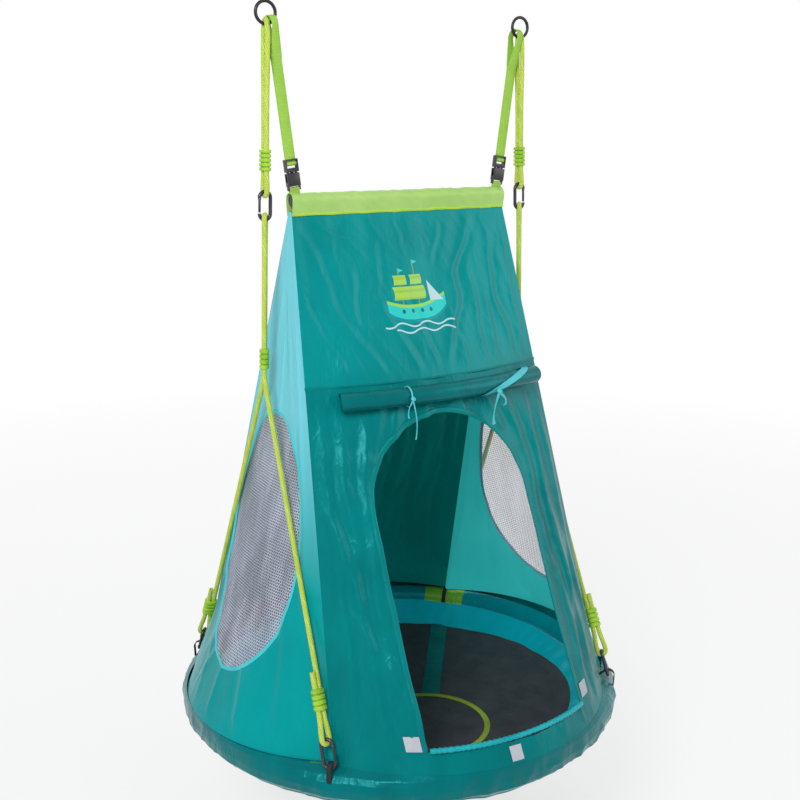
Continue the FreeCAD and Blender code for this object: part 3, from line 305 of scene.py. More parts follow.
tealDark, tealPale = linear(0, 112, 112), linear(0, 144, 146)
limeShine = (0.8, 0.95, 0.4)
finishes = {
    "front": polyester("tealPolyester", tealDark, tealPale, drawing=boatDrawing),
    # lower front: a darker, more contrasty copy of the front teal, painted shade in its folds
    "lower": polyester("tealPolyesterLower", linear(0, 90, 92), linear(0, 134, 136), gloss=0.3,
                       crinkle=1.3, mirror=0.35),
    # skirt: a darker copy of the lower teal, painted shade where the skirt faces down
    "skirt": polyester("shadedTealPolyester", linear(0, 88, 92), linear(0, 122, 126), gloss=0.26,
                       crinkle=1.3, mirror=0.35),
    # back panel: its painted glow lifts the tent's shaded inside
    "back": polyester("darkTealPolyester", linear(0, 92, 88), linear(0, 130, 122), crinkle=1.2,
                      glow=(linear(0, 84, 80), 0.3)),
    # side panels: painted light, paler towards the top where light shines through the cloth
    "side": polyester("turquoisePolyester", linear(0, 134, 136), linear(4, 164, 166), gloss=0.28, crinkle=1.1,
                      fade=(-1.02, -0.70, linear(116, 206, 222)), shine=(0.3, 0.95, 1.0), mirror=0.18),
    # inner side of the side panels: a paler copy of the teal with a painted glow, standing in for light shining
    # through the cloth
    "sideInside": polyester("turquoiseInside", linear(24, 152, 152), linear(74, 186, 186), crinkle=0.8,
                            glow=(linear(36, 150, 148), 0.62)),
    # door roll: a darker copy of the teal, painted shade of the rolled flap
    "roll": polyester("rolledPolyester", linear(0, 76, 80), linear(2, 118, 120), gloss=0.28, mirror=0.4),
    "rim": polyester("rimPolyester", linear(0, 104, 116), linear(0, 146, 158)),
    # seat border: its painted glow lifts it in the nest's shade
    "border": polyester("borderPolyester", linear(0, 122, 136), linear(6, 152, 166),
                        glow=(linear(4, 126, 140), 0.32)),
    "rimLime": polyester("rimLimePolyester", linear(86, 150, 40), linear(130, 190, 60), shine=limeShine),
    "sleeve": polyester("limePolyester", linear(148, 194, 96), linear(184, 218, 134), gloss=0.42,
                        shine=limeShine),
    "sleeveEdge": webbingFinish("limeEdging", linear(150, 200, 40), linear(196, 226, 90)),
    "binding": polyester("tealBinding", linear(0, 96, 98), linear(0, 132, 132), crinkle=0.5),
    "cyan": polyester("cyanBinding", linear(40, 176, 190), linear(96, 214, 220), gloss=0.4, crinkle=0.6),
    "piping": polyester("cyanPiping", linear(0, 140, 152), linear(52, 190, 198), gloss=0.32),
    "ribbon": webbingFinish("cyanRibbon", linear(64, 190, 204), linear(108, 220, 228), rib=3600.0),
    "strap": webbingFinish("greenWebbing", linear(132, 186, 52), linear(172, 212, 92)),
    "loop": webbingFinish("blackWebbing", linear(16, 17, 19), linear(40, 42, 46), across="y"),
    "tab": webbingFinish("greyTape", linear(168, 172, 182), linear(208, 212, 222), rib=5000.0),
    "mat": matFinish("blackMat", linear(38, 37, 41), linear(86, 84, 90)),
    "tealBand": webbingFinish("tealBandWebbing", linear(0, 92, 92), linear(14, 122, 120), across="y"),
    "limeBand": webbingFinish("limeBandWebbing", linear(128, 156, 44), linear(166, 190, 66), across="y"),
    "net": netFinish("windowNet", linear(186, 186, 202)),
    "rope": braidFinish("yellowGreenRope", linear(158, 192, 14), linear(212, 230, 84), linear(226, 240, 160)),
    "slider": mouldedFinish("limePlastic", linear(124, 176, 20), linear(178, 216, 60), gloss=0.3, through=0.3),
    "buckle": mouldedFinish("blackPlastic", linear(14, 14, 17), linear(44, 43, 50), gloss=0.32),
    "hook": mouldedFinish("hookPlastic", linear(18, 17, 22), linear(58, 54, 66), gloss=0.28),
    "ring": steelFinish("blackSteel", linear(20, 20, 23), linear(70, 70, 74), 0.35, 0.36),
    "zinc": steelFinish("zincSteel", linear(150, 152, 156), linear(196, 198, 202), 1.0, 0.4),
    "foam": mouldedFinish("blackFoam", linear(18, 18, 18), linear(38, 38, 38), gloss=0.85, depth=0.0006),
    "barPlastic": mouldedFinish("greyPlastic", linear(36, 36, 38), linear(60, 60, 62), gloss=0.5),
}
print("finishes made")


# modelling helpers
def deselectAll():
    bpy.ops.object.select_all(action="DESELECT")


def pick(piece):
    deselectAll()
    piece.select_set(True)
    bpy.context.view_layer.objects.active = piece


def applyAll(piece):
    pick(piece)
    for modifier in list(piece.modifiers):
        bpy.ops.object.modifier_apply(modifier=modifier.name)


def joined(words):
    return "".join(word.capitalize() for word in words.split("_"))


def unit(vector):
    return vector / np.linalg.norm(vector)


def editAll(piece, *steps):
    # each step is an operator and its options, run in edit mode with the whole piece selected
    pick(piece)
    bpy.ops.object.mode_set(mode="EDIT")
    bpy.ops.mesh.select_all(action="SELECT")
    for operator, options in steps:
        operator(**options)
    bpy.ops.object.mode_set(mode="OBJECT")


facingOut = (bpy.ops.mesh.normals_make_consistent, {"inside": False})


def setFinish(piece, *names):
    piece.data.materials.clear()
    for name in names:
        piece.data.materials.append(finishes[name])


def setUp(piece, finish, replaced=(), body=seat, angle=60.0):
    pick(piece)
    bpy.ops.object.shade_smooth_by_angle(angle=math.radians(angle))
    setFinish(piece, finish)
    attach(piece, body)
    if replaced:
        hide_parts(*replaced)
    return piece


def scaleUv(piece, across, along):
    for loop in piece.data.uv_layers.active.data:
        loop.uv = (loop.uv[0] * across, loop.uv[1] * along)


def clothGrid(name, columns, rows, place, flat=None, hole=None):
    # a flat grid whose points are carried to their places; hole(p, q) is the distance to a hole's edge
    deselectAll()
    bpy.ops.mesh.primitive_grid_add(x_subdivisions=columns, y_subdivisions=rows, size=2)
    piece = bpy.context.object
    piece.name = piece.data.name = name
    mesh = piece.data
    start = np.empty(len(mesh.vertices) * 3)
    mesh.vertices.foreach_get("co", start)
    start = start.reshape(-1, 3)
    p, q = flat(start[:, 0], start[:, 1]) if flat else (start[:, 0], start[:, 1])
    if hole:
        work = bmesh.new()
        work.from_mesh(mesh)
        work.verts.ensure_lookup_table()
        gone = []
        for face in work.faces:
            corners = [vert.index for vert in face.verts]
            if hole(p[corners].mean(), q[corners].mean()) < 0:
                gone.append(face)
        order = work.verts.layers.int.new("order")
        for vert in work.verts:
            vert[order] = vert.index
        bmesh.ops.delete(work, geom=gone, context="FACES")
        keep = np.array([vert[order] for vert in work.verts])
        p, q = p[keep], q[keep]
        step = 0.0005
        for index, vert in enumerate(work.verts):
            if vert.is_boundary and abs(hole(p[index], q[index])) < 0.012:
                for turn in range(3):
                    away = hole(p[index], q[index])
                    slopeP = (hole(p[index] + step, q[index]) - hole(p[index] - step, q[index])) / (2 * step)
                    slopeQ = (hole(p[index], q[index] + step) - hole(p[index], q[index] - step)) / (2 * step)
                    size = slopeP ** 2 + slopeQ ** 2 + 1e-9
                    p[index] -= away * slopeP / size
                    q[index] -= away * slopeQ / size
        work.verts.layers.int.remove(work.verts.layers.int["order"])
        work.to_mesh(mesh)
        work.free()
    points = place(p, q)
    mesh.vertices.foreach_set("co", np.asarray(points, float).ravel())
    if flat:
        corner = np.empty(len(mesh.loops), np.int32)
        mesh.loops.foreach_get("vertex_index", corner)
        mesh.uv_layers.active.data.foreach_set("uv", np.stack([p, q], 1)[corner].ravel())
    mesh.update()
    return piece


def weld(piece, distance=0.00001):
    editAll(piece, (bpy.ops.mesh.remove_doubles, {"threshold": distance}), facingOut)


def thicken(piece, thickness, offset=0.0):
    made = piece.modifiers.new("thickness", "SOLIDIFY")
    made.thickness = thickness
    made.offset = offset
    applyAll(piece)


def softNoise(a, b, seed):
    return np.array([noise.noise(Vector((s, t, seed))) for s, t in zip(a, b)])


def ridged(a, b, seed):
    return 1.0 - 2.0 * np.abs(softNoise(a, b, seed))


def smooth(value):
    value = np.clip(value, 0.0, 1.0)
    return value * value * (3.0 - 2.0 * value)


def sweep(name, path, ways, outline, closed=False):
    # carries an outline of (out, side) offsets along a path; ways gives the out and side directions
    path = np.asarray(path, float)
    outs = np.asarray([w[0] for w in ways], float)
    sides = np.asarray([w[1] for w in ways], float)
    shape = np.asarray(outline + [outline[0]], float)
    columns = len(shape) - 1
    rows = len(path) - 1
    lengths = np.concatenate([[0.0], np.cumsum(np.linalg.norm(np.diff(path, axis=0), axis=1))])

    def place(u, v):
        i = np.rint((u + 1) / 2 * columns).astype(int)
        j = np.rint((v + 1) / 2 * rows).astype(int)
        return path[j] + outs[j] * shape[i, 0][:, None] + sides[j] * shape[i, 1][:, None]

    piece = clothGrid(name, columns, rows, place)
    loops = piece.data.loops
    uvs = piece.data.uv_layers.active.data
    old = np.empty(len(loops) * 2)
    uvs.foreach_get("uv", old)
    old = old.reshape(-1, 2)
    old[:, 1] = np.interp(old[:, 1] * rows, np.arange(rows + 1), lengths)
    uvs.foreach_set("uv", old.ravel())
    weld(piece)
    if not closed:
        editAll(piece, (bpy.ops.mesh.select_mode, {"type": "EDGE"}),
                (bpy.ops.mesh.select_all, {"action": "DESELECT"}),
                (bpy.ops.mesh.select_non_manifold, {"extend": False}), (bpy.ops.mesh.edge_face_add, {}),
                (bpy.ops.mesh.select_all, {"action": "SELECT"}), facingOut)
    return piece


def flatOval(wide, thick, count=12):
    return [(thick / 2 * math.sin(2 * math.pi * k / count), wide / 2 * math.cos(2 * math.pi * k / count))
            for k in range(count)]


def waysAlong(path, outWays, closed=False):
    # the out and side directions at each point of a path that lies on a surface
    ways, last = [], len(path) - 1
    for k, outWay in enumerate(outWays):
        after, before = ((k + 1) % len(path), k - 1) if closed else (min(k + 1, last), max(k - 1, 0))
        along = unit(path[after] - path[before])
        outWay = unit(outWay - along * outWay.dot(along))
        ways.append((outWay, np.cross(along, outWay)))
    return ways


copying = {"segments": 2, "bevelAngle": 35.0, "flatAngle": 1.0, "merge": 0.00001}


def cadCopy(name, source, bevel=0.0005):
    # the CAD piece's own solid, merged and with its edges rounded
    deselectAll()
    piece = nodes[source].copy()
    piece.data = nodes[source].data.copy()
    for key in list(piece.keys()):
        del piece[key]
    piece.parent = None
    piece.name = piece.data.name = name
    bpy.context.scene.collection.objects.link(piece)
    piece.hide_render = False
    editAll(piece, (bpy.ops.mesh.remove_doubles, {"threshold": copying["merge"]}),
            (bpy.ops.mesh.dissolve_limited, {"angle_limit": math.radians(copying["flatAngle"])}))
    rounding = piece.modifiers.new("rounding", "BEVEL")
    rounding.width = bevel
    rounding.segments = copying["segments"]
    rounding.limit_method = "ANGLE"
    rounding.angle_limit = math.radians(copying["bevelAngle"])
    rounding.use_clamp_overlap = True
    applyAll(piece)
    return piece


# the tent's surface
tent = {"top": 0.972, "foot": 0.016, "ridgeHalf": 0.241, "ridgeWide": 0.006, "cornerAngle": 41.2,
        "cornerRadius": 0.420, "footRadius": 0.453, "sidePower": 3.2, "frontPower": 1.3, "seam": 0.662,
        "ropePress": 0.0125, "sliderPress": 0.019, "hookRadius": 0.439, "strandTop": 0.672,
        "strandTopX": 0.281 + 0.018 * 0.625 / 0.582, "hookFoot": 0.017}
cornerTurn = math.radians(tent["cornerAngle"])
footX, footY = tent["cornerRadius"] * math.cos(cornerTurn), tent["cornerRadius"] * math.sin(cornerTurn)
hookX, hookY = tent["hookRadius"] * math.cos(cornerTurn), tent["hookRadius"] * math.sin(cornerTurn)
topZ, footZ, seamZ = (tent[key] - hangHeight for key in ("top", "foot", "seam"))


def tentSizes(z):
    share = np.clip((topZ - z) / (topZ - footZ), 0.0, 1.0)
    cornerX = tent["ridgeHalf"] + (footX - tent["ridgeHalf"]) * share
    cornerY = tent["ridgeWide"] + (footY - tent["ridgeWide"]) * share
    side = cornerX + 0.001 + (tent["footRadius"] - footX - 0.001) * share ** tent["sidePower"]
    front = cornerY + 0.001 + (tent["footRadius"] - footY - 0.001) * share ** tent["frontPower"]
    return cornerX, cornerY, side, front


def frontY(x, z):
    cornerX, cornerY, side, front = tentSizes(z)
    rise = front - cornerY
    bend = (cornerX ** 2 + rise ** 2) / (2 * rise)
    return -(front - bend + np.sqrt(np.maximum(bend ** 2 - x ** 2, 0.0)))


def sideX(y, z):
    cornerX, cornerY, side, front = tentSizes(z)
    strandTop, hookFoot = tent["strandTop"] - hangHeight, tent["hookFoot"] - hangHeight
    share = np.clip((strandTop - z) / (strandTop - hookFoot), 0.0, 1.0)
    ropeX = tent["strandTopX"] + (hookX - tent["strandTopX"]) * share
    ramp = np.clip((share - 0.6) / 0.18, 0.0, 1.0)
    bendY = np.maximum(hookY * share - 0.014 * ramp, 0.45 * cornerY)
    bendY = np.minimum(bendY, cornerY - 0.6 * np.minimum(cornerY, 0.020))
    freeX = cornerX + (side - cornerX) * (1 - (bendY / cornerY) ** 2)
    bendX = np.minimum(freeX, ropeX - tent["ropePress"] - (tent["sliderPress"] - tent["ropePress"]) * ramp)
    rise = np.maximum(side - bendX, 0.0005)
    bend = (bendY ** 2 + rise ** 2) / (2 * rise)
    inner = side - bend + np.sqrt(np.maximum(bend ** 2 - y ** 2, 0.0))
    part = np.clip((np.abs(y) - bendY) / np.maximum(cornerY - bendY, 0.001), 0.0, 1.0)
    outer = bendX + (cornerX - bendX) * part
    return np.where(np.abs(y) <= bendY, inner, outer)


# front and back of the tent
door = {"left": -0.190, "right": 0.158, "spring": 0.430 - hangHeight, "bottom": 0.052 - hangHeight,
        "tapeWide": 0.011, "tapeThick": 0.0036}
cloth = {"thick": 0.0012, "columns": 190, "upperRows": 90, "lowerRows": 210}
doorMiddle, doorHalf = (door["left"] + door["right"]) / 2, (door["right"] - door["left"]) / 2


def doorEdge(x, z):
    # below zero inside the doorway
    if z > door["spring"]:
        return math.hypot(x - doorMiddle, z - door["spring"]) - doorHalf
    return max(abs(x - doorMiddle) - doorHalf, door["bottom"] - z)


backSeed = 21.0
# each fold: points as shares (across -1..1, down 0..1), half width and height in mm
upperFolds = (
    (((0.62, 0.03), (0.34, 0.45), (0.12, 0.97)), 9, 4.4),
    (((0.78, 0.08), (0.70, 0.5), (0.78, 0.96)), 8, 3.6), (((0.93, 0.05), (0.88, 0.97)), 6, 3.2),
    (((0.50, 0.3), (0.47, 0.97)), 8, 3.0), (((-0.92, 0.06), (-0.76, 0.5), (-0.46, 0.97)), 9, 3.8),
    (((-0.82, 0.03), (-0.42, 0.27)), 6, 2.4), (((-0.98, 0.42), (-0.72, 0.98)), 7, 3.4),
    (((-0.34, 0.5), (-0.15, 0.98)), 8, 3.0), (((-0.14, 0.46), (0.02, 0.97)), 6, 2.4),
    (((-0.13, 0.06), (-0.07, 0.2)), 4, 1.6), (((0.10, 0.08), (0.17, 0.24)), 4, 1.6),
    (((-0.55, 0.3), (-0.60, 0.7)), 7, 2.2), (((0.30, 0.08), (0.16, 0.35)), 6, 2.0),
    (((-0.30, 0.16), (-0.36, 0.46)), 6, 1.6), (((0.62, 0.5), (0.60, 0.97)), 6, 2.8),
    (((0.22, 0.55), (0.30, 0.96)), 5, 2.0))
lowerFolds = (
    (((-0.93, 0.0), (-0.90, 0.5), (-0.93, 0.98)), 10, 8.0),
    (((-0.80, 0.04), (-0.82, 0.5), (-0.78, 0.98)), 12, 9.2),
    (((-0.62, 0.03), (-0.72, 0.4), (-0.70, 0.9)), 12, 9.5),
    (((-0.66, 0.3), (-0.62, 0.7), (-0.67, 0.97)), 10, 8.0), (((-0.50, 0.02), (-0.60, 0.22)), 12, 6.7),
    (((-0.36, 0.02), (-0.44, 0.16)), 10, 5.5), (((-0.86, 0.55), (-0.60, 0.92)), 14, 7.4),
    (((-0.97, 0.25), (-0.80, 0.62)), 10, 5.9), (((-0.15, 0.02), (-0.17, 0.13)), 9, 4.0),
    (((0.12, 0.02), (0.18, 0.13)), 9, 4.0), (((0.36, 0.02), (0.46, 0.18)), 10, 5.2),
    (((0.58, 0.03), (0.64, 0.3), (0.62, 0.6)), 10, 7.4),
    (((0.78, 0.02), (0.76, 0.4), (0.78, 0.97)), 12, 8.5),
    (((0.92, 0.05), (0.90, 0.6), (0.93, 0.97)), 10, 7.0), (((0.66, 0.5), (0.64, 0.97)), 9, 6.7),
    (((0.86, 0.45), (0.62, 0.9)), 12, 5.5))
backFolds = tuple((tuple((-a * 0.9, b) for a, b in points), wide, high)
                  for points, wide, high in upperFolds[:9])
backFolds += (
    (((0.45, 0.3), (0.5, 0.98)), 9, 8.0), (((0.62, 0.35), (0.7, 0.97)), 8, 7.4),
    (((0.25, 0.5), (0.2, 0.97)), 8, 6.4), (((0.85, 0.3), (0.88, 0.97)), 7, 7.0))


def foldLines(across, down, halfWide, lines, seed):
    # across and down are shares; halfWide is the panel's half width in metres at each point
    total = np.zeros_like(across)
    wander = softNoise(across * 2.5, down * 6.0, seed) * 0.03
    for points, wide, high in lines:
        best, lift = np.full_like(across, 9.0), np.zeros_like(across)
        steps = len(points) - 1
        for k in range(steps):
            (a0, b0), (a1, b1) = points[k], points[k + 1]
            share = np.clip((down - b0) / (b1 - b0), 0.0, 1.0)
            beyond = np.abs(down - b0 - (b1 - b0) * share)
            side = (across + wander - a0 - (a1 - a0) * smooth(share)) * halfWide
            away = np.hypot(side, beyond * 0.3)
            run = (share + k) / steps
            fade = smooth(run / 0.25) * smooth((1.0 - run) / 0.2 + 0.25)
            nearer = away < best
            crest = np.exp(-np.sqrt((side / (wide * 0.001)) ** 2 + 0.08) * 1.25)
            dip = 0.55 * np.exp(-((side / (wide * 0.001) - 1.9) / 1.1) ** 2)
            lift = np.where(nearer, (crest - dip) * fade * np.exp(-(beyond / 0.04) ** 2), lift)
            best = np.minimum(best, away)
        total = total + lift * high * 0.001
    return total


frontFold = {"fan": 0.29, "long": 0.0040, "slanted": 0.0016, "small": 0.0007, "gather": 0.0011,
             "gatherWide": 0.011, "gatherTall": 0.14, "ray": 0.0010, "rays": 15.0, "rayReach": 0.34,
             "strip": 0.0030, "ripple": 0.0008, "rippleWide": 0.0125}


def frontFolds(x, z, seed, nearDoor):
    cornerX = tentSizes(z)[0]
    edge = smooth((1.0 - np.abs(x) / cornerX) / 0.09)
    ends = smooth((topZ - z) / 0.03) * smooth((z - footZ) / 0.03)
    seam = 0.25 + 0.75 * smooth(np.abs(z - seamZ) / 0.035)
    spread = x / cornerX * frontFold["fan"]        # folds fan out from the ridge
    long = softNoise(spread / 0.07, z / 0.5, seed) * frontFold["long"]
    slanted = (ridged((spread + z * 0.45) / 0.12, z / 0.3, seed + 7.7) ** 4 - 0.25) * frontFold["slanted"]
    small = ridged((spread + z * 0.8) / 0.045, (z - x * 0.3) / 0.14, seed + 5.2) ** 4 - 0.2
    if seed == backSeed:
        drawn = foldLines(x / cornerX, (topZ - z) / (topZ - footZ), cornerX, backFolds, seed)
    else:
        drawn = np.where(z > seamZ + 0.0001,
                         foldLines(x / cornerX, (topZ - z) / (topZ - seamZ), cornerX, upperFolds, seed),
                         foldLines(x / cornerX, (seamZ - z) / (seamZ - footZ), cornerX, lowerFolds, seed))
    high = smooth((z - topZ + frontFold["gatherTall"]) / frontFold["gatherTall"])
    gathers = np.sin(x / frontFold["gatherWide"] + softNoise(x / 0.05, z / 0.2, seed + 1.0) * 4.0)
    fine = slanted + small * frontFold["small"] + gathers * frontFold["gather"] * high
    result = (long * (1 - 0.5 * high) + drawn + fine) * edge * ends * seam
    if nearDoor:
        pull = np.hypot(x - doorMiddle, z - door["spring"])
        turnWay = np.arctan2(z - door["spring"], x - doorMiddle)
        rays = np.sin(turnWay * frontFold["rays"] + softNoise(x / 0.1, z / 0.1, seed + 5.0) * 3.0)
        result = result + rays * frontFold["ray"] * smooth((frontFold["rayReach"] - pull) / 0.16) * edge
        jamb = smooth((door["spring"] + 0.05 - z) / 0.12)
        strip = (ridged((x * 0.9 + z * 0.16) / 0.06, z / 0.4, seed + 9.0) ** 2 - 0.35) * frontFold["strip"]
        away = (np.abs(x - doorMiddle) - doorHalf) / frontFold["rippleWide"]
        strip += np.sin(away + softNoise(x / 0.08, z / 0.14, 3.3) * 2.4) * frontFold["ripple"]
        result = result + strip * jamb * edge * ends
    return result


def panelPlace(seed, nearDoor):
    return lambda x, z: np.stack([x, frontY(x, z) - frontFolds(x, z, seed, nearDoor) + 0.001, z], 1)


def panelFlat(low, high):
    def flat(u, v):
        z = low + (high - low) * (v + 1) / 2
        return u * (tentSizes(z)[0] - 0.0004), z
    return flat


upperSeed, lowerSeed = 2.0, 11.0
for part, finish, low, high, seed, hole, cut in (
        ("upper", "front", seamZ, topZ, upperSeed, None,
         {"flat": (0.545, 0.335), "area": 0.170, "held": "hung", "rests_on": ["ridgeSleeve"]}),
        ("lower", "lower", footZ, seamZ, lowerSeed, doorEdge,
         {"flat": (0.700, 0.690), "area": 0.248, "held": "hung", "rests_on": ["tentFrontUpper"]})):
    piece = clothGrid("tentFront" + part.capitalize(), cloth["columns"], cloth[part + "Rows"],
                      panelPlace(seed, hole is not None), panelFlat(low, high), hole)
    thicken(piece, cloth["thick"])
    setUp(piece, finish, ["front_panel_" + part])

backPanel = {"columns": 170, "rows": 250, "seamX": 0.09, "seamSpread": 0.35, "seamDepth": 0.0022,
             "seamWide": 0.004}


def backPlace(x, z):
    y = -frontY(x, z) + frontFolds(x, z, backSeed, False) - 0.001
    for seamX in (-backPanel["seamX"], backPanel["seamX"]):
        away = x - seamX * (1 + (topZ - z) * backPanel["seamSpread"])
        y = y - backPanel["seamDepth"] * np.exp(-(away / backPanel["seamWide"]) ** 2)
    return np.stack([x, y, z], 1)


back = clothGrid("tentBack", backPanel["columns"], backPanel["rows"], backPlace, panelFlat(footZ, topZ))
thicken(back, cloth["thick"])
setUp(back, "back", ["back_panel"])
print("front and back made")

# sides, with their net windows
window = {"half": 0.132, "middle": 0.300 - hangHeight, "above": 0.302, "below": 0.185, "tape": 0.008,
          "tapeThick": 0.0036, "points": 160, "netInward": 0.0006, "netThick": 0.0004, "netOverlap": 0.003}


def windowEdge(y, z):
    tall = window["above"] if z > window["middle"] else window["below"]
    dy, dz = y / window["half"], (z - window["middle"]) / tall
    reach = math.hypot(dy, dz)
    slope = math.hypot(dy / window["half"], dz / tall) / max(reach, 1e-6)
    return (reach - 1.0) / max(slope, 1e-6)


drawnSideFolds = (
    (((0.72, 0.10), (0.80, 0.5), (0.84, 0.97)), 8, 3.4),
    (((-0.72, 0.10), (-0.80, 0.5), (-0.84, 0.97)), 8, 3.4), (((0.10, 0.06), (0.30, 0.32)), 7, 2.2),
    (((-0.20, 0.05), (-0.42, 0.34)), 7, 2.4), (((0.62, 0.62), (0.66, 0.97)), 9, 3.6),
    (((-0.60, 0.66), (-0.66, 0.97)), 9, 3.8), (((0.20, 0.86), (0.34, 0.99)), 9, 3.0),
    (((-0.24, 0.85), (-0.36, 0.99)), 9, 3.2))


sideFold = {"fan": 0.28, "long": 0.0050, "crease": 0.0034, "wide": 0.12}


def sideFolds(y, z, seed):
    cornerY = tentSizes(z)[1]
    toEdge = 1.0 - np.abs(y) / cornerY
    ends = smooth((topZ - z) / 0.06) * smooth((z - footZ) / 0.04)
    wide = np.clip(cornerY / sideFold["wide"], 0.15, 1.0)
    spread = y / cornerY * sideFold["fan"]
    long = softNoise(spread / 0.085, z / 0.5, seed) * sideFold["long"]
    creases = (ridged(spread / 0.11, z / 0.4, seed + 2.0) ** 4 - 0.25) * sideFold["crease"] * wide
    drawn = foldLines(y / cornerY, (topZ - z) / (topZ - footZ), cornerY, drawnSideFolds, seed)
    return ((long * wide + creases) * smooth(toEdge / 0.3) + drawn * smooth(toEdge / 0.12)) * ends


def sidePlace(sign, seed, inward=0.0):
    def place(y, z):
        x = sideX(y, z) + sideFolds(y, z, seed) * (0.4 if inward else 1.0) - 0.001 - inward
        return np.stack([sign * x, y, z], 1)
    return place


def sideFlat(u, v):
    z = footZ + (topZ - footZ) * (v + 1) / 2
    return u * (tentSizes(z)[1] - 0.0004), z


for sideName, sign, seed in (("Left", -1.0, 31.0), ("Right", 1.0, 47.0)):
    label = sideName.lower()
    piece = clothGrid("tentSide" + sideName, 150, 260, sidePlace(sign, seed), sideFlat, windowEdge)
    weld(piece)
    thicken(piece, cloth["thick"])
    setUp(piece, "side", ["side_panel_" + label])
    # the inner faces take the paler, glowing inside finish: painted light through the cloth
    setFinish(piece, "side", "sideInside")
    for face in piece.data.polygons:
        face.material_index = 0 if face.normal.x * sign > 0 else 1
    netting = clothGrid("windowNet" + sideName, 90, 150, sidePlace(sign, seed, window["netInward"]), sideFlat,
                        lambda y, z: window["netOverlap"] - windowEdge(y, z))
    weld(netting)
    thicken(netting, window["netThick"])
    setUp(netting, "net", ["mesh_window_" + label])
    path = []
    for turnWay in np.linspace(0, 2 * math.pi, window["points"], endpoint=False):
        tall = window["above"] if math.sin(turnWay) > 0 else window["below"]
        y = np.array([window["half"] * math.cos(turnWay)])
        z = np.array([window["middle"] + tall * math.sin(turnWay)])
        path.append(sidePlace(sign, seed)(y, z)[0])
    ways = waysAlong(path, [np.array([sign, 0.0, 0.25])] * len(path), closed=True)
    tape = sweep("windowTape" + sideName, path + path[:1], ways + ways[:1],
                 flatOval(window["tape"], window["tapeThick"]), closed=True)
    setUp(tape, "cyan", ["window_bindings"] if sign > 0 else [])
print("sides made")


def frontTape(name, path, wide, thick, replaced):
    # tape sewn along a path on the front of the tent
    ways = waysAlong(path, [np.array([spot[0] * 0.8, -0.4, 0.08]) for spot in path])
    setUp(sweep(name, path, ways, flatOval(wide, thick)), "binding", replaced)


def onFront(x, z, seed=lowerSeed):
    return panelPlace(seed, seed == lowerSeed)(np.array([x]), np.array([z]))[0]


seamTape = {"half": 0.266, "wide": 0.006, "thick": 0.0018, "proud": 0.0006}
jambTall = door["spring"] - door["bottom"]
doorPath = [onFront(door["left"], door["bottom"] + jambTall * k / 60) for k in range(60)]
doorPath += [onFront(doorMiddle - doorHalf * math.cos(math.pi * k / 70),
                     door["spring"] + doorHalf * math.sin(math.pi * k / 70)) for k in range(71)]
doorPath += [onFront(door["right"], door["spring"] - jambTall * k / 60) for k in range(1, 61)]
frontTape("doorTape", doorPath, door["tapeWide"], door["tapeThick"], ["doorway_binding"])
seamPath = [onFront(x, seamZ, upperSeed) - np.array([0, seamTape["proud"], 0])
            for x in np.linspace(-seamTape["half"], seamTape["half"], 120)]
frontTape("frontSeamTape", seamPath, seamTape["wide"], seamTape["thick"], [])
print("doorway and seams made")

# skirt over the ring
skirtRows = ((0.016, 0.4200, 0.453), (0.008, 0.4400, 0.454), (-0.002, 0.4495, 0.454), (-0.014, 0.454, 0.454),
             (-0.030, 0.451, 0.451), (-0.045, 0.434, 0.434))
skirt = {"columns": 520, "rows": 44, "thick": 0.0012, "ripples": 38, "ripple": 0.0009, "crease": 0.0026,
         "wander": 0.0026, "bottom": -0.045, "hemLevel": -0.0445, "hemWide": 0.010, "hemThick": 0.0032,
         "hemLean": 0.6}


def skirtPlace(angle, level):
    # radius between the rows: the corners sit further in near the top
    levels = [row[0] - hangHeight for row in skirtRows][::-1]
    cornerR = np.interp(level, levels, [row[1] for row in skirtRows][::-1])
    middleR = np.interp(level, levels, [row[2] for row in skirtRows][::-1])
    quarter = np.arctan2(np.abs(np.sin(angle)), np.abs(np.cos(angle)))
    toSide = np.clip(quarter / cornerTurn, 0.0, 1.0)
    toFront = np.clip((math.pi / 2 - quarter) / (math.pi / 2 - cornerTurn), 0.0, 1.0)
    share = np.where(quarter < cornerTurn, toSide, toFront)
    radius = middleR + (cornerR - middleR) * share ** 2
    down = smooth((footZ - level) / 0.02)
    waves = (np.sin(angle * skirt["ripples"] + softNoise(angle * 4, level * 6, 5.0) * 4.0) * skirt["ripple"]
             + (ridged(angle * 8, level / 0.09, 8.0) ** 3 - 0.3) * skirt["crease"]) * down
    hem = softNoise(angle * 6.0, angle * 0.0, 2.0) * skirt["wander"] * smooth((levels[1] - level) / 0.012)
    radius = radius - 0.001 + waves
    return np.stack([radius * np.cos(angle), radius * np.sin(angle), level + hem], 1)


def skirtFlat(u, v):
    return (u + 1) * math.pi, footZ - (footZ + hangHeight - skirt["bottom"]) * (1 - v) / 2


skirtCloth = clothGrid("skirtCloth", skirt["columns"], skirt["rows"], skirtPlace, skirtFlat)
scaleUv(skirtCloth, 0.45, 1.0)
weld(skirtCloth, 0.0001)
thicken(skirtCloth, skirt["thick"])
setUp(skirtCloth, "skirt", ["skirt"])
hemPath, hemWays = [], []
for k in range(361):
    angle = 2 * math.pi * (k % 360) / 360
    away, leaning = np.array([math.cos(angle), math.sin(angle), 0.0]), math.hypot(1, skirt["hemLean"])
    up = np.array([0.0, 0.0, 1.0])
    hemPath.append(skirtPlace(np.array([angle]), np.array([skirt["hemLevel"] - hangHeight]))[0])
    hemWays.append(((away - up * skirt["hemLean"]) / leaning, (away * skirt["hemLean"] + up) / leaning))
hem = sweep("skirtHem", hemPath, hemWays, flatOval(skirt["hemWide"], skirt["hemThick"]), closed=True)
setUp(hem, "binding")

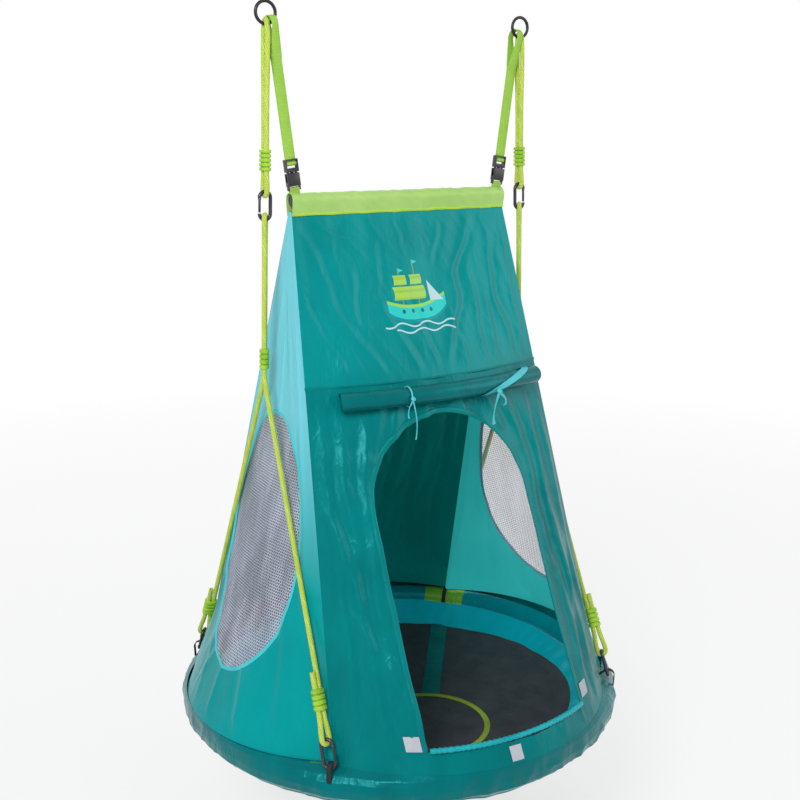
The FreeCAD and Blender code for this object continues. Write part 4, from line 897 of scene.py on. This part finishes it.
# ring cover: a foam sleeve in cloth, lime at the ropes
rim = {"radius": 0.422, "level": -0.014 - hangHeight, "tube": 0.0258, "limeHalf": 7.0, "crumple": 0.0008,
       "seamDip": 0.0009, "seamWide": 0.5, "inset": 0.0006}


def rimPlace(u, v):
    angle, around = (u + 1) * math.pi, (v + 1) * math.pi
    puff = (ridged(angle * 14, np.cos(around) * 1.4 + angle, 4.0) - 0.5) * rim["crumple"]
    quarter = np.degrees(np.arctan2(np.abs(np.sin(angle)), np.abs(np.cos(angle))))
    seamAway = np.abs(np.abs(quarter - tent["cornerAngle"]) - rim["limeHalf"])
    puff = puff - rim["seamDip"] * np.exp(-(seamAway / rim["seamWide"]) ** 2)
    tube = rim["tube"] - rim["inset"] + puff
    radius = rim["radius"] + tube * np.cos(around)
    return np.stack([radius * np.cos(angle), radius * np.sin(angle), rim["level"] + tube * np.sin(around)], 1)


ringCover = clothGrid("ringCover", 480, 30, rimPlace)
scaleUv(ringCover, 2.65, 0.16)
weld(ringCover)
setUp(ringCover, "rim", ["rim_cover_teal", "rim_cover_lime"])
setFinish(ringCover, "rim", "rimLime")
for face in ringCover.data.polygons:
    turnWay = math.degrees(math.atan2(abs(face.center.y), abs(face.center.x)))
    face.material_index = 1 if abs(turnWay - tent["cornerAngle"]) < rim["limeHalf"] else 0

# seat
mat = {"radius": 0.328, "border": 0.395, "level": -0.042 - hangHeight, "dip": 0.005, "dipRadius": 0.2,
       "thick": 0.002, "clothThick": 0.0012, "ringTop": -0.014 - hangHeight, "drawnIn": 0.016,
       "forward": 0.058, "forwardTurn": 0.52, "waves": 0.0030, "creases": 0.0014, "overlap": 0.004}
band = {"radius": 0.1225, "wide": 0.011, "at": (-0.038, -0.160), "thick": 0.0011, "stripWide": 0.038,
        "stripEnd": 0.322, "stripTurns": (52.0, 142.0, 232.0)}


def matEdge(angle):
    # the mat's outline: further out at the doorway, drawn in and wavy at the back
    front = 0.5 - 0.5 * np.sin(angle - mat["forwardTurn"])
    wavy = np.sin(angle * 9.0) * 0.0035 + np.sin(angle * 17.0 + 1.0) * 0.0018
    return mat["radius"] - mat["drawnIn"] + mat["forward"] * front ** 2 + wavy * (1.0 - front)


def seatTop(radius):
    top, dip, middle = mat["level"] + mat["thick"], mat["dip"], mat["dipRadius"]
    inner = top - dip + dip * 0.3 * radius / middle
    outer = top - dip * 0.7 * (mat["radius"] - radius) / (mat["radius"] - middle)
    return np.where(radius < middle, inner, outer)


def matHeight(x, y):
    # past the CAD mat's edge it climbs with the cloth towards the ring
    away = np.hypot(x, y)
    share = np.clip((away - mat["radius"]) / (mat["border"] - mat["radius"]), 0.0, 1.0)
    rise = (mat["ringTop"] - mat["level"] - mat["thick"]) * share ** 1.2
    edge = smooth((away - matEdge(np.arctan2(y, x)) + 0.06) / 0.06)
    waves = softNoise(x / 0.055, y / 0.055, 6.0) * mat["waves"] * edge
    return seatTop(np.minimum(away, mat["radius"])) + rise + waves


def matPlace(u, v):
    # a square laid out as a disc
    a, b = u * np.sqrt(1 - v * v / 2), v * np.sqrt(1 - u * u / 2)
    reach = matEdge(np.arctan2(b, a))
    x, y = a * reach, b * reach
    sag = softNoise(x / 0.07, y / 0.07, 6.0) + ridged(x / 0.12 + y / 0.2, y / 0.05, 9.0) ** 3 - 0.3
    sag = sag * mat["creases"]
    return np.stack([x, y, matHeight(x, y) - 0.0006 + sag * smooth((0.31 - np.hypot(x, y)) / 0.05)], 1)


seatMat = clothGrid("seatMat", 140, 140, matPlace)
scaleUv(seatMat, 0.67, 0.67)
thicken(seatMat, mat["clothThick"], -1.0)
setUp(seatMat, "mat", ["seat_mat"])


def borderPlace(u, v):
    angle, share = (u + 1) * math.pi, (v + 1) / 2
    inner = matEdge(angle) - mat["overlap"]
    radius = inner + (mat["border"] - 0.001 - inner) * share
    spot = matHeight(radius * np.cos(angle), radius * np.sin(angle))
    rise = spot + 0.0008 + 0.0014 * np.sin(share * math.pi)
    fold = np.sin(angle * 60 + np.sin(angle * 7) * 3) * 0.0011 * np.sin(share * math.pi)
    return np.stack([radius * np.cos(angle), radius * np.sin(angle), rise + fold], 1)


seatBorder = clothGrid("seatBorder", 420, 16, borderPlace)
scaleUv(seatBorder, 2.3, 0.07)
weld(seatBorder)
thicken(seatBorder, mat["clothThick"])
setUp(seatBorder, "border", ["seat_border"])


def onMat(x, y, lift):
    return np.stack([x, y, matHeight(x, y) + lift], 1)


def bandPlace(u, v):
    angle = (u + 1) * math.pi
    radius = band["radius"] + v * band["wide"] / 2
    return onMat(band["at"][0] + radius * np.cos(angle), band["at"][1] + radius * np.sin(angle),
                 0.0009 - 0.0004 * v * v)


seatBand = clothGrid("seatBand", 200, 6, bandPlace)
weld(seatBand)
thicken(seatBand, band["thick"])
setUp(seatBand, "limeBand", ["seat_band_lime"])


def stripPlace(way):
    reach = -way.dot(band["at"]) + math.sqrt(
        way.dot(band["at"]) ** 2 - math.hypot(*band["at"]) ** 2 + band["stripEnd"] ** 2)

    def place(u, v):
        s = v * band["stripWide"] / 2
        near = np.sqrt((band["radius"] + band["wide"] / 2 + 0.0005) ** 2 - s ** 2)
        r = near + (reach - near) * (u + 1) / 2
        x = band["at"][0] + r * way[0] - s * way[1]
        y = band["at"][1] + r * way[1] + s * way[0]
        far = np.maximum(np.hypot(x, y) / band["stripEnd"], 1.0)
        return onMat(x / far, y / far, 0.0010 - 0.0005 * v * v + 0.0002 * np.sin(r * 300))
    return place


for k, turn in enumerate(band["stripTurns"]):
    way = np.array([math.cos(math.radians(turn)), math.sin(math.radians(turn))])
    strip = clothGrid("seatStrip%d" % (k + 1), 60, 10, stripPlace(way))
    thicken(strip, band["thick"])
    setUp(strip, "tealBand", ["seat_strips_teal"] if k == 0 else [])
print("ring cover and seat made")

# door roll: the flap's own sheet wound up
roll = {"radius": 0.0172, "core": 0.004, "pitch": 0.00150, "level": 0.640 - hangHeight, "x0": -0.219,
        "x1": 0.235, "thick": 0.0007, "tieLeft": -0.088, "tieRight": 0.143, "start": 2.2, "crumple": 0.0010,
        "pinch": 0.0012, "pinchWide": 0.008, "wander": 0.0004, "stand": 0.018 + 0.0014 + 0.0006}
rollCorner, rollCornerY, _, rollFront = (float(size[0]) for size in tentSizes(np.array([roll["level"]])))
rollBend = (rollCorner ** 2 + (rollFront - rollCornerY) ** 2) / (2 * (rollFront - rollCornerY))
fronts = tentSizes(roll["level"] + np.array([-0.01, 0.01]))[3]
rollArc = rollBend + roll["stand"] / math.cos(math.atan((fronts[0] - fronts[1]) / 0.02))
turns = (roll["radius"] - roll["core"]) / roll["pitch"]


def rollFrame(x):
    bearing = np.arcsin(np.clip(x / rollArc, -1, 1))
    out = np.stack([np.sin(bearing), -np.cos(bearing), np.zeros_like(bearing)], -1)
    centre = out * rollArc + np.array([0.0, rollBend - rollFront, roll["level"]])
    return centre, out


def rollPlace(u, v):
    spin = (v + 1) / 2 * turns
    around = spin * 2 * math.pi - roll["start"]
    ragged = np.sin(spin * 5.0) * 0.0022 + np.sin(spin * 1.3) * 0.002
    x = (roll["x0"] + roll["x1"]) / 2 + u * (roll["x1"] - roll["x0"]) / 2
    x = x - np.sign(u) * np.abs(u) ** 8 * (0.004 + ragged)
    radius = roll["core"] + roll["pitch"] * spin
    outer = smooth((spin - turns + 1.4) / 1.2)
    crumple = (ridged(x / 0.05 + around * 0.12, around * 0.7, 3.0) - 0.5) * roll["crumple"] * outer
    for tie in (roll["tieLeft"], roll["tieRight"]):
        pinch = np.exp(-((x - tie) / roll["pinchWide"]) ** 2) * roll["pinch"]
        crumple = crumple - pinch * radius / roll["radius"]
    crumple = crumple + softNoise(x / 0.09, around * 0.4, 7.0) * roll["wander"]
    centre, out = rollFrame(x)
    radius = np.minimum(radius + crumple, roll["radius"] + 0.0006)
    up = np.array([0.0, 0.0, 1.0])
    return centre + out * (radius * np.cos(around))[:, None] + up * (radius * np.sin(around))[:, None]


doorRoll = clothGrid("doorRoll", 150, int(turns * 30), rollPlace)
scaleUv(doorRoll, 0.46, 0.6)
thicken(doorRoll, roll["thick"])
setUp(doorRoll, "roll", ["door_roll"])


def tieRing(tie):
    centre, out = (found[0] for found in rollFrame(np.array([tie["x"]])))
    path, outs = [], []
    for angle in np.radians(range(0, 361, 8)):
        across = np.array([tie["x"] + tie["slant"] * math.sin(angle - 0.25)])
        middle, away = (found[0] for found in rollFrame(across))
        rise = np.array([0, 0, tie["radius"] * math.sin(angle)])
        path.append(middle + away * tie["radius"] * math.cos(angle) + rise)
        outs.append(unit(path[-1] - middle))
    ways = []
    for k, away in enumerate(outs):
        along = path[(k + 1) % (len(path) - 1)] - path[(k - 1) % (len(path) - 1)]
        ways.append((away, unit(np.cross(along, away))))
    piece = sweep("doorTie" + tie["side"], path, ways, flatOval(tie["wide"], tie["thick"]), closed=True)
    return piece, centre, out, np.array([-out[1], out[0], 0.0])


def joinPieces(first, others):
    deselectAll()
    for other in others:
        other.select_set(True)
    first.select_set(True)
    bpy.context.view_layer.objects.active = first
    bpy.ops.object.join()
    return first


def hanging(name, start, out, axis, tie, share, drift, curl):
    path, ways = [], []
    for run in np.linspace(0, 1, 25):
        drop = np.array([0, 0, -tie["tail"] * share * run])
        forward = out * (0.004 * math.sin(run * 3) + curl * run ** 2)
        path.append(start + drop + forward + axis * drift * math.sin(run * 2.2))
        twist = 0.5 * math.sin(run * 3.0)
        ways.append((out * math.cos(twist) + axis * math.sin(twist),
                     axis * math.cos(twist) - out * math.sin(twist)))
    return sweep(name, path, ways, flatOval(tie["tailWide"], 0.0012, 8))


def knotPiece(centre, size):
    deselectAll()
    bpy.ops.mesh.primitive_torus_add(major_segments=28, minor_segments=12, major_radius=size * 0.55,
                                     minor_radius=size * 0.42, location=Vector(centre),
                                     rotation=(1.1, 0.4, 0.3))
    piece = bpy.context.object
    piece.scale = (1.0, 0.8, 1.1)
    bpy.ops.object.transform_apply(location=True, rotation=True, scale=True)
    return piece


ties = (
    {"side": "Left", "x": roll["tieLeft"], "radius": 0.0188, "wide": 0.0032, "thick": 0.0022, "slant": 0.0,
     "tail": 0.074, "tailWide": 0.0030, "knot": 0.0058, "drop": 0.0, "drift": 0.006, "shortDrift": -0.012},
    {"side": "Right", "x": roll["tieRight"], "radius": 0.0188, "wide": 0.0125, "thick": 0.0010, "slant": 0.062,
     "tail": 0.060, "tailWide": 0.0105, "knot": 0.0070, "drop": 0.010, "drift": -0.020, "shortDrift": 0.014})
for tie in ties:
    ring, centre, out, axis = tieRing(tie)
    top = centre + out * 0.0205 - np.array([0, 0, tie["drop"]]) - axis * tie["slant"] * 0.6
    starts = top + out * 0.001 - np.array([0, 0, 0.003]), top - np.array([0, 0, 0.002])
    ring = joinPieces(ring, [knotPiece(top + out * 0.0015, tie["knot"]),
                             hanging("tail", starts[0], out, axis, tie, 1.0, tie["drift"], 0.002),
                             hanging("tailShort", starts[1], out, axis, tie, 0.45, tie["shortDrift"], 0.004)])
    setUp(ring, "ribbon", ["door_tie_" + tie["side"].lower()])
print("door roll made")

# sill piping and tabs
piping = {"radius": 0.0055, "rest": 0.0045, "inset": 0.003, "left": -0.187, "right": 0.155, "gather": 0.10,
          "gathers": 260, "rows": 241}
sillFront = float(tentSizes(np.array([door["bottom"]]))[3][0]) - 0.001
angleFrom, angleTo = (270 + math.degrees(math.asin(x / sillFront)) for x in (piping["left"], piping["right"]))


def pipeSpot(out):
    return np.append(out[:2] * (sillFront - piping["inset"]), door["bottom"] + piping["rest"])


outs = [np.array([math.cos(angle), math.sin(angle), 0.0])
        for angle in np.radians(np.linspace(angleFrom, angleTo, piping["rows"]))]
pipe = sweep("sillPiping", [pipeSpot(out) for out in outs], [(out, np.array([0.0, 0.0, 1.0])) for out in outs],
             flatOval(2 * piping["radius"], 2 * piping["radius"], 16))
for vert in pipe.data.vertices:
    angle = math.atan2(vert.co.y, vert.co.x)
    centre = Vector(pipeSpot(np.array([math.cos(angle), math.sin(angle)])))
    ruffle = math.sin(angle * piping["gathers"] + 2.5 * noise.noise(vert.co * 60))
    vert.co = centre + (vert.co - centre) * (1.0 - piping["gather"] * (1.0 - ruffle))
setUp(pipe, "piping", ["sill_piping"])
tabs = {"half": 0.012, "thick": 0.0013, "proud": 0.0016, "crown": 0.0005,
        "places": ((-0.208, 0.066), (-0.035, 0.034), (0.176, 0.074))}


def tabPlace(tabX, level):
    def place(u, v):
        x, z = tabX + u * tabs["half"], level - hangHeight + v * tabs["half"]
        lift = tabs["proud"] + tabs["crown"] * (1 - np.maximum(np.abs(u), np.abs(v)) ** 6)
        return np.stack([x, frontY(x, z) - lift, z], 1)
    return place


for k, (tabX, level) in enumerate(tabs["places"]):
    tab = clothGrid("hookLoopTab%d" % (k + 1), 16, 16, tabPlace(tabX, level))
    thicken(tab, tabs["thick"])
    setUp(tab, "tab", ["hook_loop_tabs"] if k == 0 else [])
print("sill made")

# ridge sleeve
ridge = {"half": 0.241, "level": 0.992 - hangHeight, "radius": 0.0133, "lip": 0.009, "lipDrop": 0.007,
         "thick": 0.0014, "crease": 0.0011, "pucker": 0.0004, "puckerWide": 0.0052, "edgeY": 0.0098,
         "edgeDrop": 0.0045, "edgeWide": 0.0058, "edgeThick": 0.0022}


def sleevePlace(u, v):
    x = u * ridge["half"]
    share = (v + 1) / 2
    around = (share * 1.5 - 0.25) * math.pi        # from the front lip over the top to the back lip
    y = -ridge["radius"] * np.cos(around)
    z = ridge["level"] + ridge["radius"] * np.sin(around)
    low = smooth((0.2 - share) / 0.2) + smooth((share - 0.8) / 0.2)
    y = y * (1 - low) + np.sign(y) * ridge["lip"] * low
    z = z * (1 - low) + (topZ - ridge["lipDrop"]) * low
    fold = (ridged((x * 0.7 + z * 0.8) / 0.024, (z - x * 0.5) / 0.06, 5.0) - 0.4) * ridge["crease"]
    puckers = np.sin((x + z * 0.9) / ridge["puckerWide"] + softNoise(x / 0.04, z / 0.02, 1.0) * 3)
    fold = fold + puckers * ridge["pucker"]
    return np.stack([x, y * (1 + fold / ridge["radius"]), z + fold * np.maximum(np.sin(around), 0)], 1)


sleeve = clothGrid("ridgeSleeve", 300, 60, sleevePlace)
scaleUv(sleeve, 0.48, 0.09)
thicken(sleeve, ridge["thick"])
setUp(sleeve, "sleeve", ["ridge_sleeve"])
for edgeName, sign in (("Front", -1), ("Back", 1)):
    path = [np.array([x, sign * ridge["edgeY"], topZ - ridge["edgeDrop"] + 0.0006 * math.sin(x * 90)])
            for x in np.linspace(-ridge["half"], ridge["half"], 160)]
    ways = [(np.array([0.0, float(sign), 0.0]), np.array([0.0, 0.0, 1.0]))] * len(path)
    edging = sweep("sleeveEdge" + edgeName, path, ways, flatOval(ridge["edgeWide"], ridge["edgeThick"]))
    setUp(edging, "sleeveEdge")
for finish, names in (("barPlastic", ("ridge_bar", "ridge_bar_caps")), ("foam", ("foam_sleeves",)),
                      ("zinc", ("ring_tubes", "ring_spigots", "ring_screws", "hook_gate_pins"))):
    for name in names:
        setFinish(nodes[name], finish)
print("ridge made")

# hanging rings, straps and buckles
steelRing = {"radius": 0.019, "rod": 0.003, "x": 0.281, "bead": 0.11, "beadAngle": 0.5, "beadWide": 0.07}
bevels = {"strap": 0.0004, "prong": 0.0003, "gate": 0.0002, "hookFuller": 0.0006}
for sideName, sign in (("left", -1), ("right", 1)):
    deselectAll()
    bpy.ops.mesh.primitive_torus_add(major_segments=128, minor_segments=28, major_radius=steelRing["radius"],
                                     minor_radius=steelRing["rod"], location=(sign * steelRing["x"], 0, 0),
                                     rotation=(math.pi / 2, 0, 0))
    ring = bpy.context.object
    ring.name = ring.data.name = "steelRing" + sideName.capitalize()
    bpy.ops.object.transform_apply(location=True, rotation=True, scale=True)
    for vert in ring.data.vertices:                # the weld's bead
        angle = math.atan2(vert.co.z, (vert.co.x - sign * steelRing["x"]) * sign)
        away = (angle - steelRing["beadAngle"]) / steelRing["beadWide"]
        swell = 1.0 + steelRing["bead"] * math.exp(-away ** 2)
        centre = Vector((sign * (steelRing["x"] + math.cos(angle) * steelRing["radius"]), 0,
                         math.sin(angle) * steelRing["radius"]))
        vert.co = centre + (vert.co - centre) * swell
    setUp(ring, "ring", ["steel_ring_" + sideName], body="hanging_rings", angle=80)
    strap = cadCopy("topStrap" + sideName.capitalize(), "top_strap_" + sideName, bevels["strap"])
    setUp(strap, "strap", ["top_strap_" + sideName], angle=35)
    for part in ("outer_" + sideName, "inner_" + sideName):
        prong = cadCopy("buckleProng" + joined(part), "buckle_prong_" + part, bevels["prong"])
        setUp(prong, "buckle", ["buckle_prong_" + part], body="prong_" + part, angle=35)
for name, node, finish, slotName, bevel in (
        ("buckleMales", "buckle_males", "buckle", "black_plastic", 0.0007),
        ("buckleFemales", "buckle_females", "buckle", "black_plastic", 0.0007),
        ("ridgeTabs", "ridge_tabs", "strap", "lime_cloth", 0.0004),
        ("ringLoops", "ring_loops", "loop", "black_webbing", 0.0003),
        ("snapHooks", "snap_hook_bodies", "hook", "hook_plastic", 0.0002)):
    piece = cadCopy(name, node, bevel)
    if node == "snap_hook_bodies":
        fuller = piece.modifiers.new("fuller", "DISPLACE")
        fuller.strength = bevels["hookFuller"]
        fuller.mid_level = 0.0
        applyAll(piece)
    setUp(piece, finish, [node], angle=35)
for place in ("upper_left", "upper_right", "lower_front_left", "lower_front_right", "lower_back_left",
              "lower_back_right"):
    gate = cadCopy("hookGate" + joined(place), "hook_gate_" + place, bevels["gate"])
    setUp(gate, "hook", ["hook_gate_" + place], body="gate_" + place, angle=35)
print("rings, straps and hooks made")

# rope sliders
slider = {"length": 0.039, "halfWide": 0.0090, "groove": 0.0032, "hole": 0.00505, "pair": 0.0051, "lip": 0.08,
          "inside": 0.2, "splitTwist": 33.0, "loopTwist": 25.0}
lean = math.atan(0.018 / 0.582)


def sliderPlace(ribs):
    half, lipEnd, turnIn = slider["length"] / 2, slider["lip"], 1.0 - slider["inside"]

    def place(u, v):
        around, run = (u + 1) * math.pi, (v + 1) / 2
        # out over the top lip, down the ribbed outside, and back up the hole
        outside = np.clip((run - lipEnd) / (turnIn - lipEnd), 0, 1)
        z = np.where(run < turnIn, half - outside * slider["length"],
                     -half + (run - turnIn) / slider["inside"] * slider["length"])
        inset = slider["groove"] * (1 - smooth(np.abs(np.sin(outside * math.pi * ribs)) * 1.5))
        wide = np.where(run < turnIn, slider["halfWide"] - inset, slider["hole"])
        lip = slider["hole"] + (slider["halfWide"] - slider["groove"] - slider["hole"]) * smooth(run / lipEnd)
        wide = np.where(run < lipEnd, lip, wide)
        y = np.clip(np.sin(around) * 1.6, -1, 1) * slider["pair"]
        return np.stack([wide * np.cos(around), y + (wide - 0.0010) * np.sin(around), z], 1)
    return place


def sliderPiece(place, centre, axis, flatWay, ribs):
    piece = clothGrid("slider" + joined(place), 48, 110, sliderPlace(ribs))
    weld(piece)
    up = Vector(axis).normalized()
    side = (Vector(flatWay) - up * up.dot(Vector(flatWay))).normalized()
    piece.data.transform(Matrix((side.cross(up), side, up)).transposed().to_4x4())
    piece.data.transform(Matrix.Translation(Vector(centre)))
    setUp(piece, "slider", ["slider_" + place], body="slider_" + place, angle=50)


splitTwist, loopTwist = math.radians(slider["splitTwist"]), math.radians(slider["loopTwist"])
for sideName, sign in (("left", -1), ("right", 1)):
    axis = (-sign * math.sin(lean), 0, math.cos(lean))
    sliderPiece("upper_" + sideName, (sign * 0.288172, 0, -0.250889), axis, (0, 1, 0), 5)
    sliderPiece("split_" + sideName, (sign * 0.29927, 0, -0.609718), axis,
                (math.sin(splitTwist), math.cos(splitTwist), 0), 4)
lowerSliders = {
    "lower_front_left": ((-0.32562, -0.240066, -1.186049), (0.03805, 0.39836, 0.91644)),
    "lower_back_left": ((-0.324664, 0.240072, -1.186091), (0.04581, -0.39832, 0.9161)),
    "lower_front_right": ((0.324664, -0.240072, -1.186091), (-0.04581, 0.39832, 0.9161)),
    "lower_back_right": ((0.32562, 0.240066, -1.186049), (-0.03805, -0.39836, 0.91644))}
for place, (centre, axis) in lowerSliders.items():
    xSign, ySign = -1 if "left" in place else 1, -1 if "front" in place else 1
    rise = Vector(axis)
    radial = Vector((xSign * hookX, ySign * hookY, 0)).normalized()
    tangent = Vector((-radial.y, radial.x, 0))
    sideWay = (tangent - rise * tangent.dot(rise)).normalized()
    normal = rise.cross(sideWay).normalized()
    turnWay = loopTwist * xSign * ySign
    sliderPiece(place, centre, axis, (normal * math.cos(turnWay) + sideWay * math.sin(turnWay)).normalized(), 4)
print("sliders made")

# ropes
rope = {"thick": 0.0095, "sides": 14, "resolution": 14, "step": 0.0035, "closest": 0.0004}


def ropePiece(name, points, node):
    curve = bpy.data.curves.new(name + "Line", "CURVE")
    curve.dimensions = "3D"
    curve.resolution_u = rope["resolution"]
    spline = curve.splines.new("NURBS")
    spline.points.add(len(points) - 1)
    for point, place in zip(spline.points, points):
        point.co = tuple(place) + (1.0,)
    spline.order_u = 3
    spline.use_endpoint_u = True
    line = bpy.data.objects.new(name + "Line", curve)
    bpy.context.scene.collection.objects.link(line)
    bpy.context.view_layer.update()
    run = bpy.data.meshes.new_from_object(line.evaluated_get(bpy.context.evaluated_depsgraph_get()))
    path = np.array([list(vert.co) for vert in run.vertices])
    bpy.data.objects.remove(line)
    keep = [0] + [k for k in range(1, len(path)) if np.linalg.norm(path[k] - path[k - 1]) > rope["closest"]]
    path = path[keep]
    steps = np.concatenate([[0.0], np.cumsum(np.linalg.norm(np.diff(path, axis=0), axis=1))])
    even = np.linspace(0, steps[-1], int(steps[-1] / rope["step"]))
    path = np.stack([np.interp(even, steps, path[:, axis]) for axis in range(3)], 1)
    along = np.gradient(path, axis=0)
    along = along / np.linalg.norm(along, axis=1)[:, None]
    ways = []
    out = np.cross(along[0], [0.3, 0.2, 0.9])
    for way in along:
        out = unit(out - way * out.dot(way))
        ways.append((out, np.cross(way, out)))
    half, angles = rope["thick"] / 2, [2 * math.pi * k / rope["sides"] for k in range(rope["sides"])]
    piece = sweep(name, path, ways, [(half * math.cos(angle), half * math.sin(angle)) for angle in angles])
    setUp(piece, "rope", [node], angle=70)


def onChain(sign, side, along):
    # side across and along the line from a steel ring down to the split slider
    return (sign * (steelRing["x"] + math.sin(lean) * along), side,
            -steelRing["radius"] - math.cos(lean) * along)


upperRoute = [(0.0051, 0.226), (0.0051, 0.122), (0.008, 0.072), (0.008, -0.008), (-0.008, -0.008),
              (-0.008, 0.072), (-0.0051, 0.122), (-0.0051, 0.258), (-0.0078, 0.272), (-0.0078, 0.2946),
              (0.0078, 0.2946), (0.0078, 0.272), (0.0051, 0.258), (0.0051, 0.2266)]
lowerRoute = [(-0.3286, -0.2218, -1.1399), (-0.3317, -0.2547, -1.2155), (-0.3364, -0.2650, -1.2359),
              (-0.3373, -0.2738, -1.2560), (-0.3199, -0.2685, -1.2590), (-0.3191, -0.2597, -1.2389),
              (-0.3221, -0.2518, -1.2171), (-0.3187, -0.2163, -1.1356), (-0.3049, -0.0288, -0.7005),
              (-0.3031, -0.0043, -0.6436), (-0.3013, -0.0043, -0.5866), (-0.2953, -0.0043, -0.3900),
              (-0.2973, -0.0086, -0.3679), (-0.2967, -0.0086, -0.3469), (-0.2856, 0.0086, -0.3473),
              (-0.2862, 0.0086, -0.3683), (-0.2897, 0.0043, -0.3902), (-0.2957, 0.0043, -0.5868),
              (-0.2975, 0.0043, -0.6438), (-0.2998, 0.0288, -0.7007), (-0.3173, 0.2163, -1.1357),
              (-0.3214, 0.2518, -1.2172), (-0.3186, 0.2598, -1.2390), (-0.3196, 0.2685, -1.2591),
              (-0.3369, 0.2738, -1.2560), (-0.3359, 0.2650, -1.2358), (-0.3310, 0.2547, -1.2154),
              (-0.3272, 0.2218, -1.1399)]
for sideName, sign in (("left", -1), ("right", 1)):
    upper = [onChain(sign, side, along) for side, along in upperRoute]
    ropePiece("upperRope" + sideName.capitalize(), upper, "upper_rope_" + sideName)
    # the right-hand rope is the left-hand one turned half round
    lower = [(x * -sign, y * -sign, z) for x, y, z in lowerRoute]
    ropePiece("lowerRope" + sideName.capitalize(), lower, "lower_rope_" + sideName)
print("ropes made")

# floor, light and camera
stage = {"floor": -1.72, "size": 90.0, "white": 0.93, "near": 0.62, "reach": 4.5, "cloud": 0.05,
         "soft": 0.38, "softColor": (0.97, 0.985, 1.0)}


def whereSeen(bench, lit, plain, share, output):
    # the plain look where the camera, gloss or glass sees it, and the lit one for everything else
    rays = [bench.node("ShaderNodeLightPath", out=kind)
            for kind in ("Is Camera Ray", "Is Glossy Ray", "Is Transmission Ray")]
    seen = rays[0].most(rays[1]).most(rays[2])
    both = bench.node("ShaderNodeMixShader", {}, {0: seen * share, 1: lit, 2: plain})
    bench.feed(bench.tree.nodes[output].inputs["Surface"], both)
    return bench.owner


def whiteFloor():
    # lit like paper near the swing, so its shadow shows, and plain white further out
    bench = Bench("paleFloor")
    place = bench.place()
    x, y, z = bench.axes(place)
    cloudy = bench.grain(place, 0.8)
    tint = (stage["white"],) * 3
    color = bench.blend(cloudy * stage["cloud"], tint, tuple(c * 0.97 for c in tint))
    bench.set(Base_Color=color, Roughness=0.9)
    away = ((x * x + y * y) ** 0.5 / stage["reach"]).clamped()
    return whereSeen(bench, Wire(bench, bench.shader.outputs[0]), bench.node("ShaderNodeEmission"),
                     away * (1.0 - stage["near"]) + stage["near"], "Material Output")


def studioWorld():
    bench = Bench("studio", "worlds")
    soft = bench.node("ShaderNodeBackground", {}, {"Color": stage["softColor"], "Strength": stage["soft"]})
    white = bench.node("ShaderNodeBackground", {}, {"Color": (1.0, 1.0, 1.0), "Strength": 1.0})
    return whereSeen(bench, soft, white, 1.0, "World Output")


deselectAll()
bpy.ops.mesh.primitive_plane_add(size=stage["size"], location=(0, 0, stage["floor"]))
floor = bpy.context.object
floor.name = "floor"
floor.data.materials.append(whiteFloor())
bpy.context.scene.world = studioWorld()

lamps = {"key": ((-2.4, -2.0, 1.2), 1.2, 84.0), "fill": ((2.4, -2.0, 0.4), 2.0, 26.0),
         "back": ((0.6, 2.6, 1.2), 2.0, 26.0)}
aim = (0, 0, -0.8)
for name, (place, size, power) in lamps.items():
    deselectAll()
    bpy.ops.object.light_add(type="AREA", location=place)
    lamp = bpy.context.object
    lamp.name = name + "Light"
    lamp.data.size = size
    lamp.data.energy = power
    lamp.rotation_euler = (Vector(aim) - Vector(place)).to_track_quat("-Z", "Y").to_euler()

view = {"place": (-1.2156, -1.8760, -0.1855), "pitch": 76.38, "roll": 0.22, "turn": -32.94, "lens": 51.46,
        "sensor": 36.0, "far": 200.0}
deselectAll()
bpy.ops.object.camera_add(location=view["place"])
camera = bpy.context.object
camera.data.lens = view["lens"]
camera.data.sensor_width = view["sensor"]
camera.data.clip_end = view["far"]
turned, pitched, rolled = (Matrix.Rotation(math.radians(view[key]), 3, way)
                           for key, way in (("turn", "Z"), ("pitch", "X"), ("roll", "Z")))
camera.rotation_euler = (turned @ pitched @ rolled).to_euler()
bpy.context.scene.camera = camera
bpy.context.scene.view_settings.view_transform = "Standard"
print("stage set")
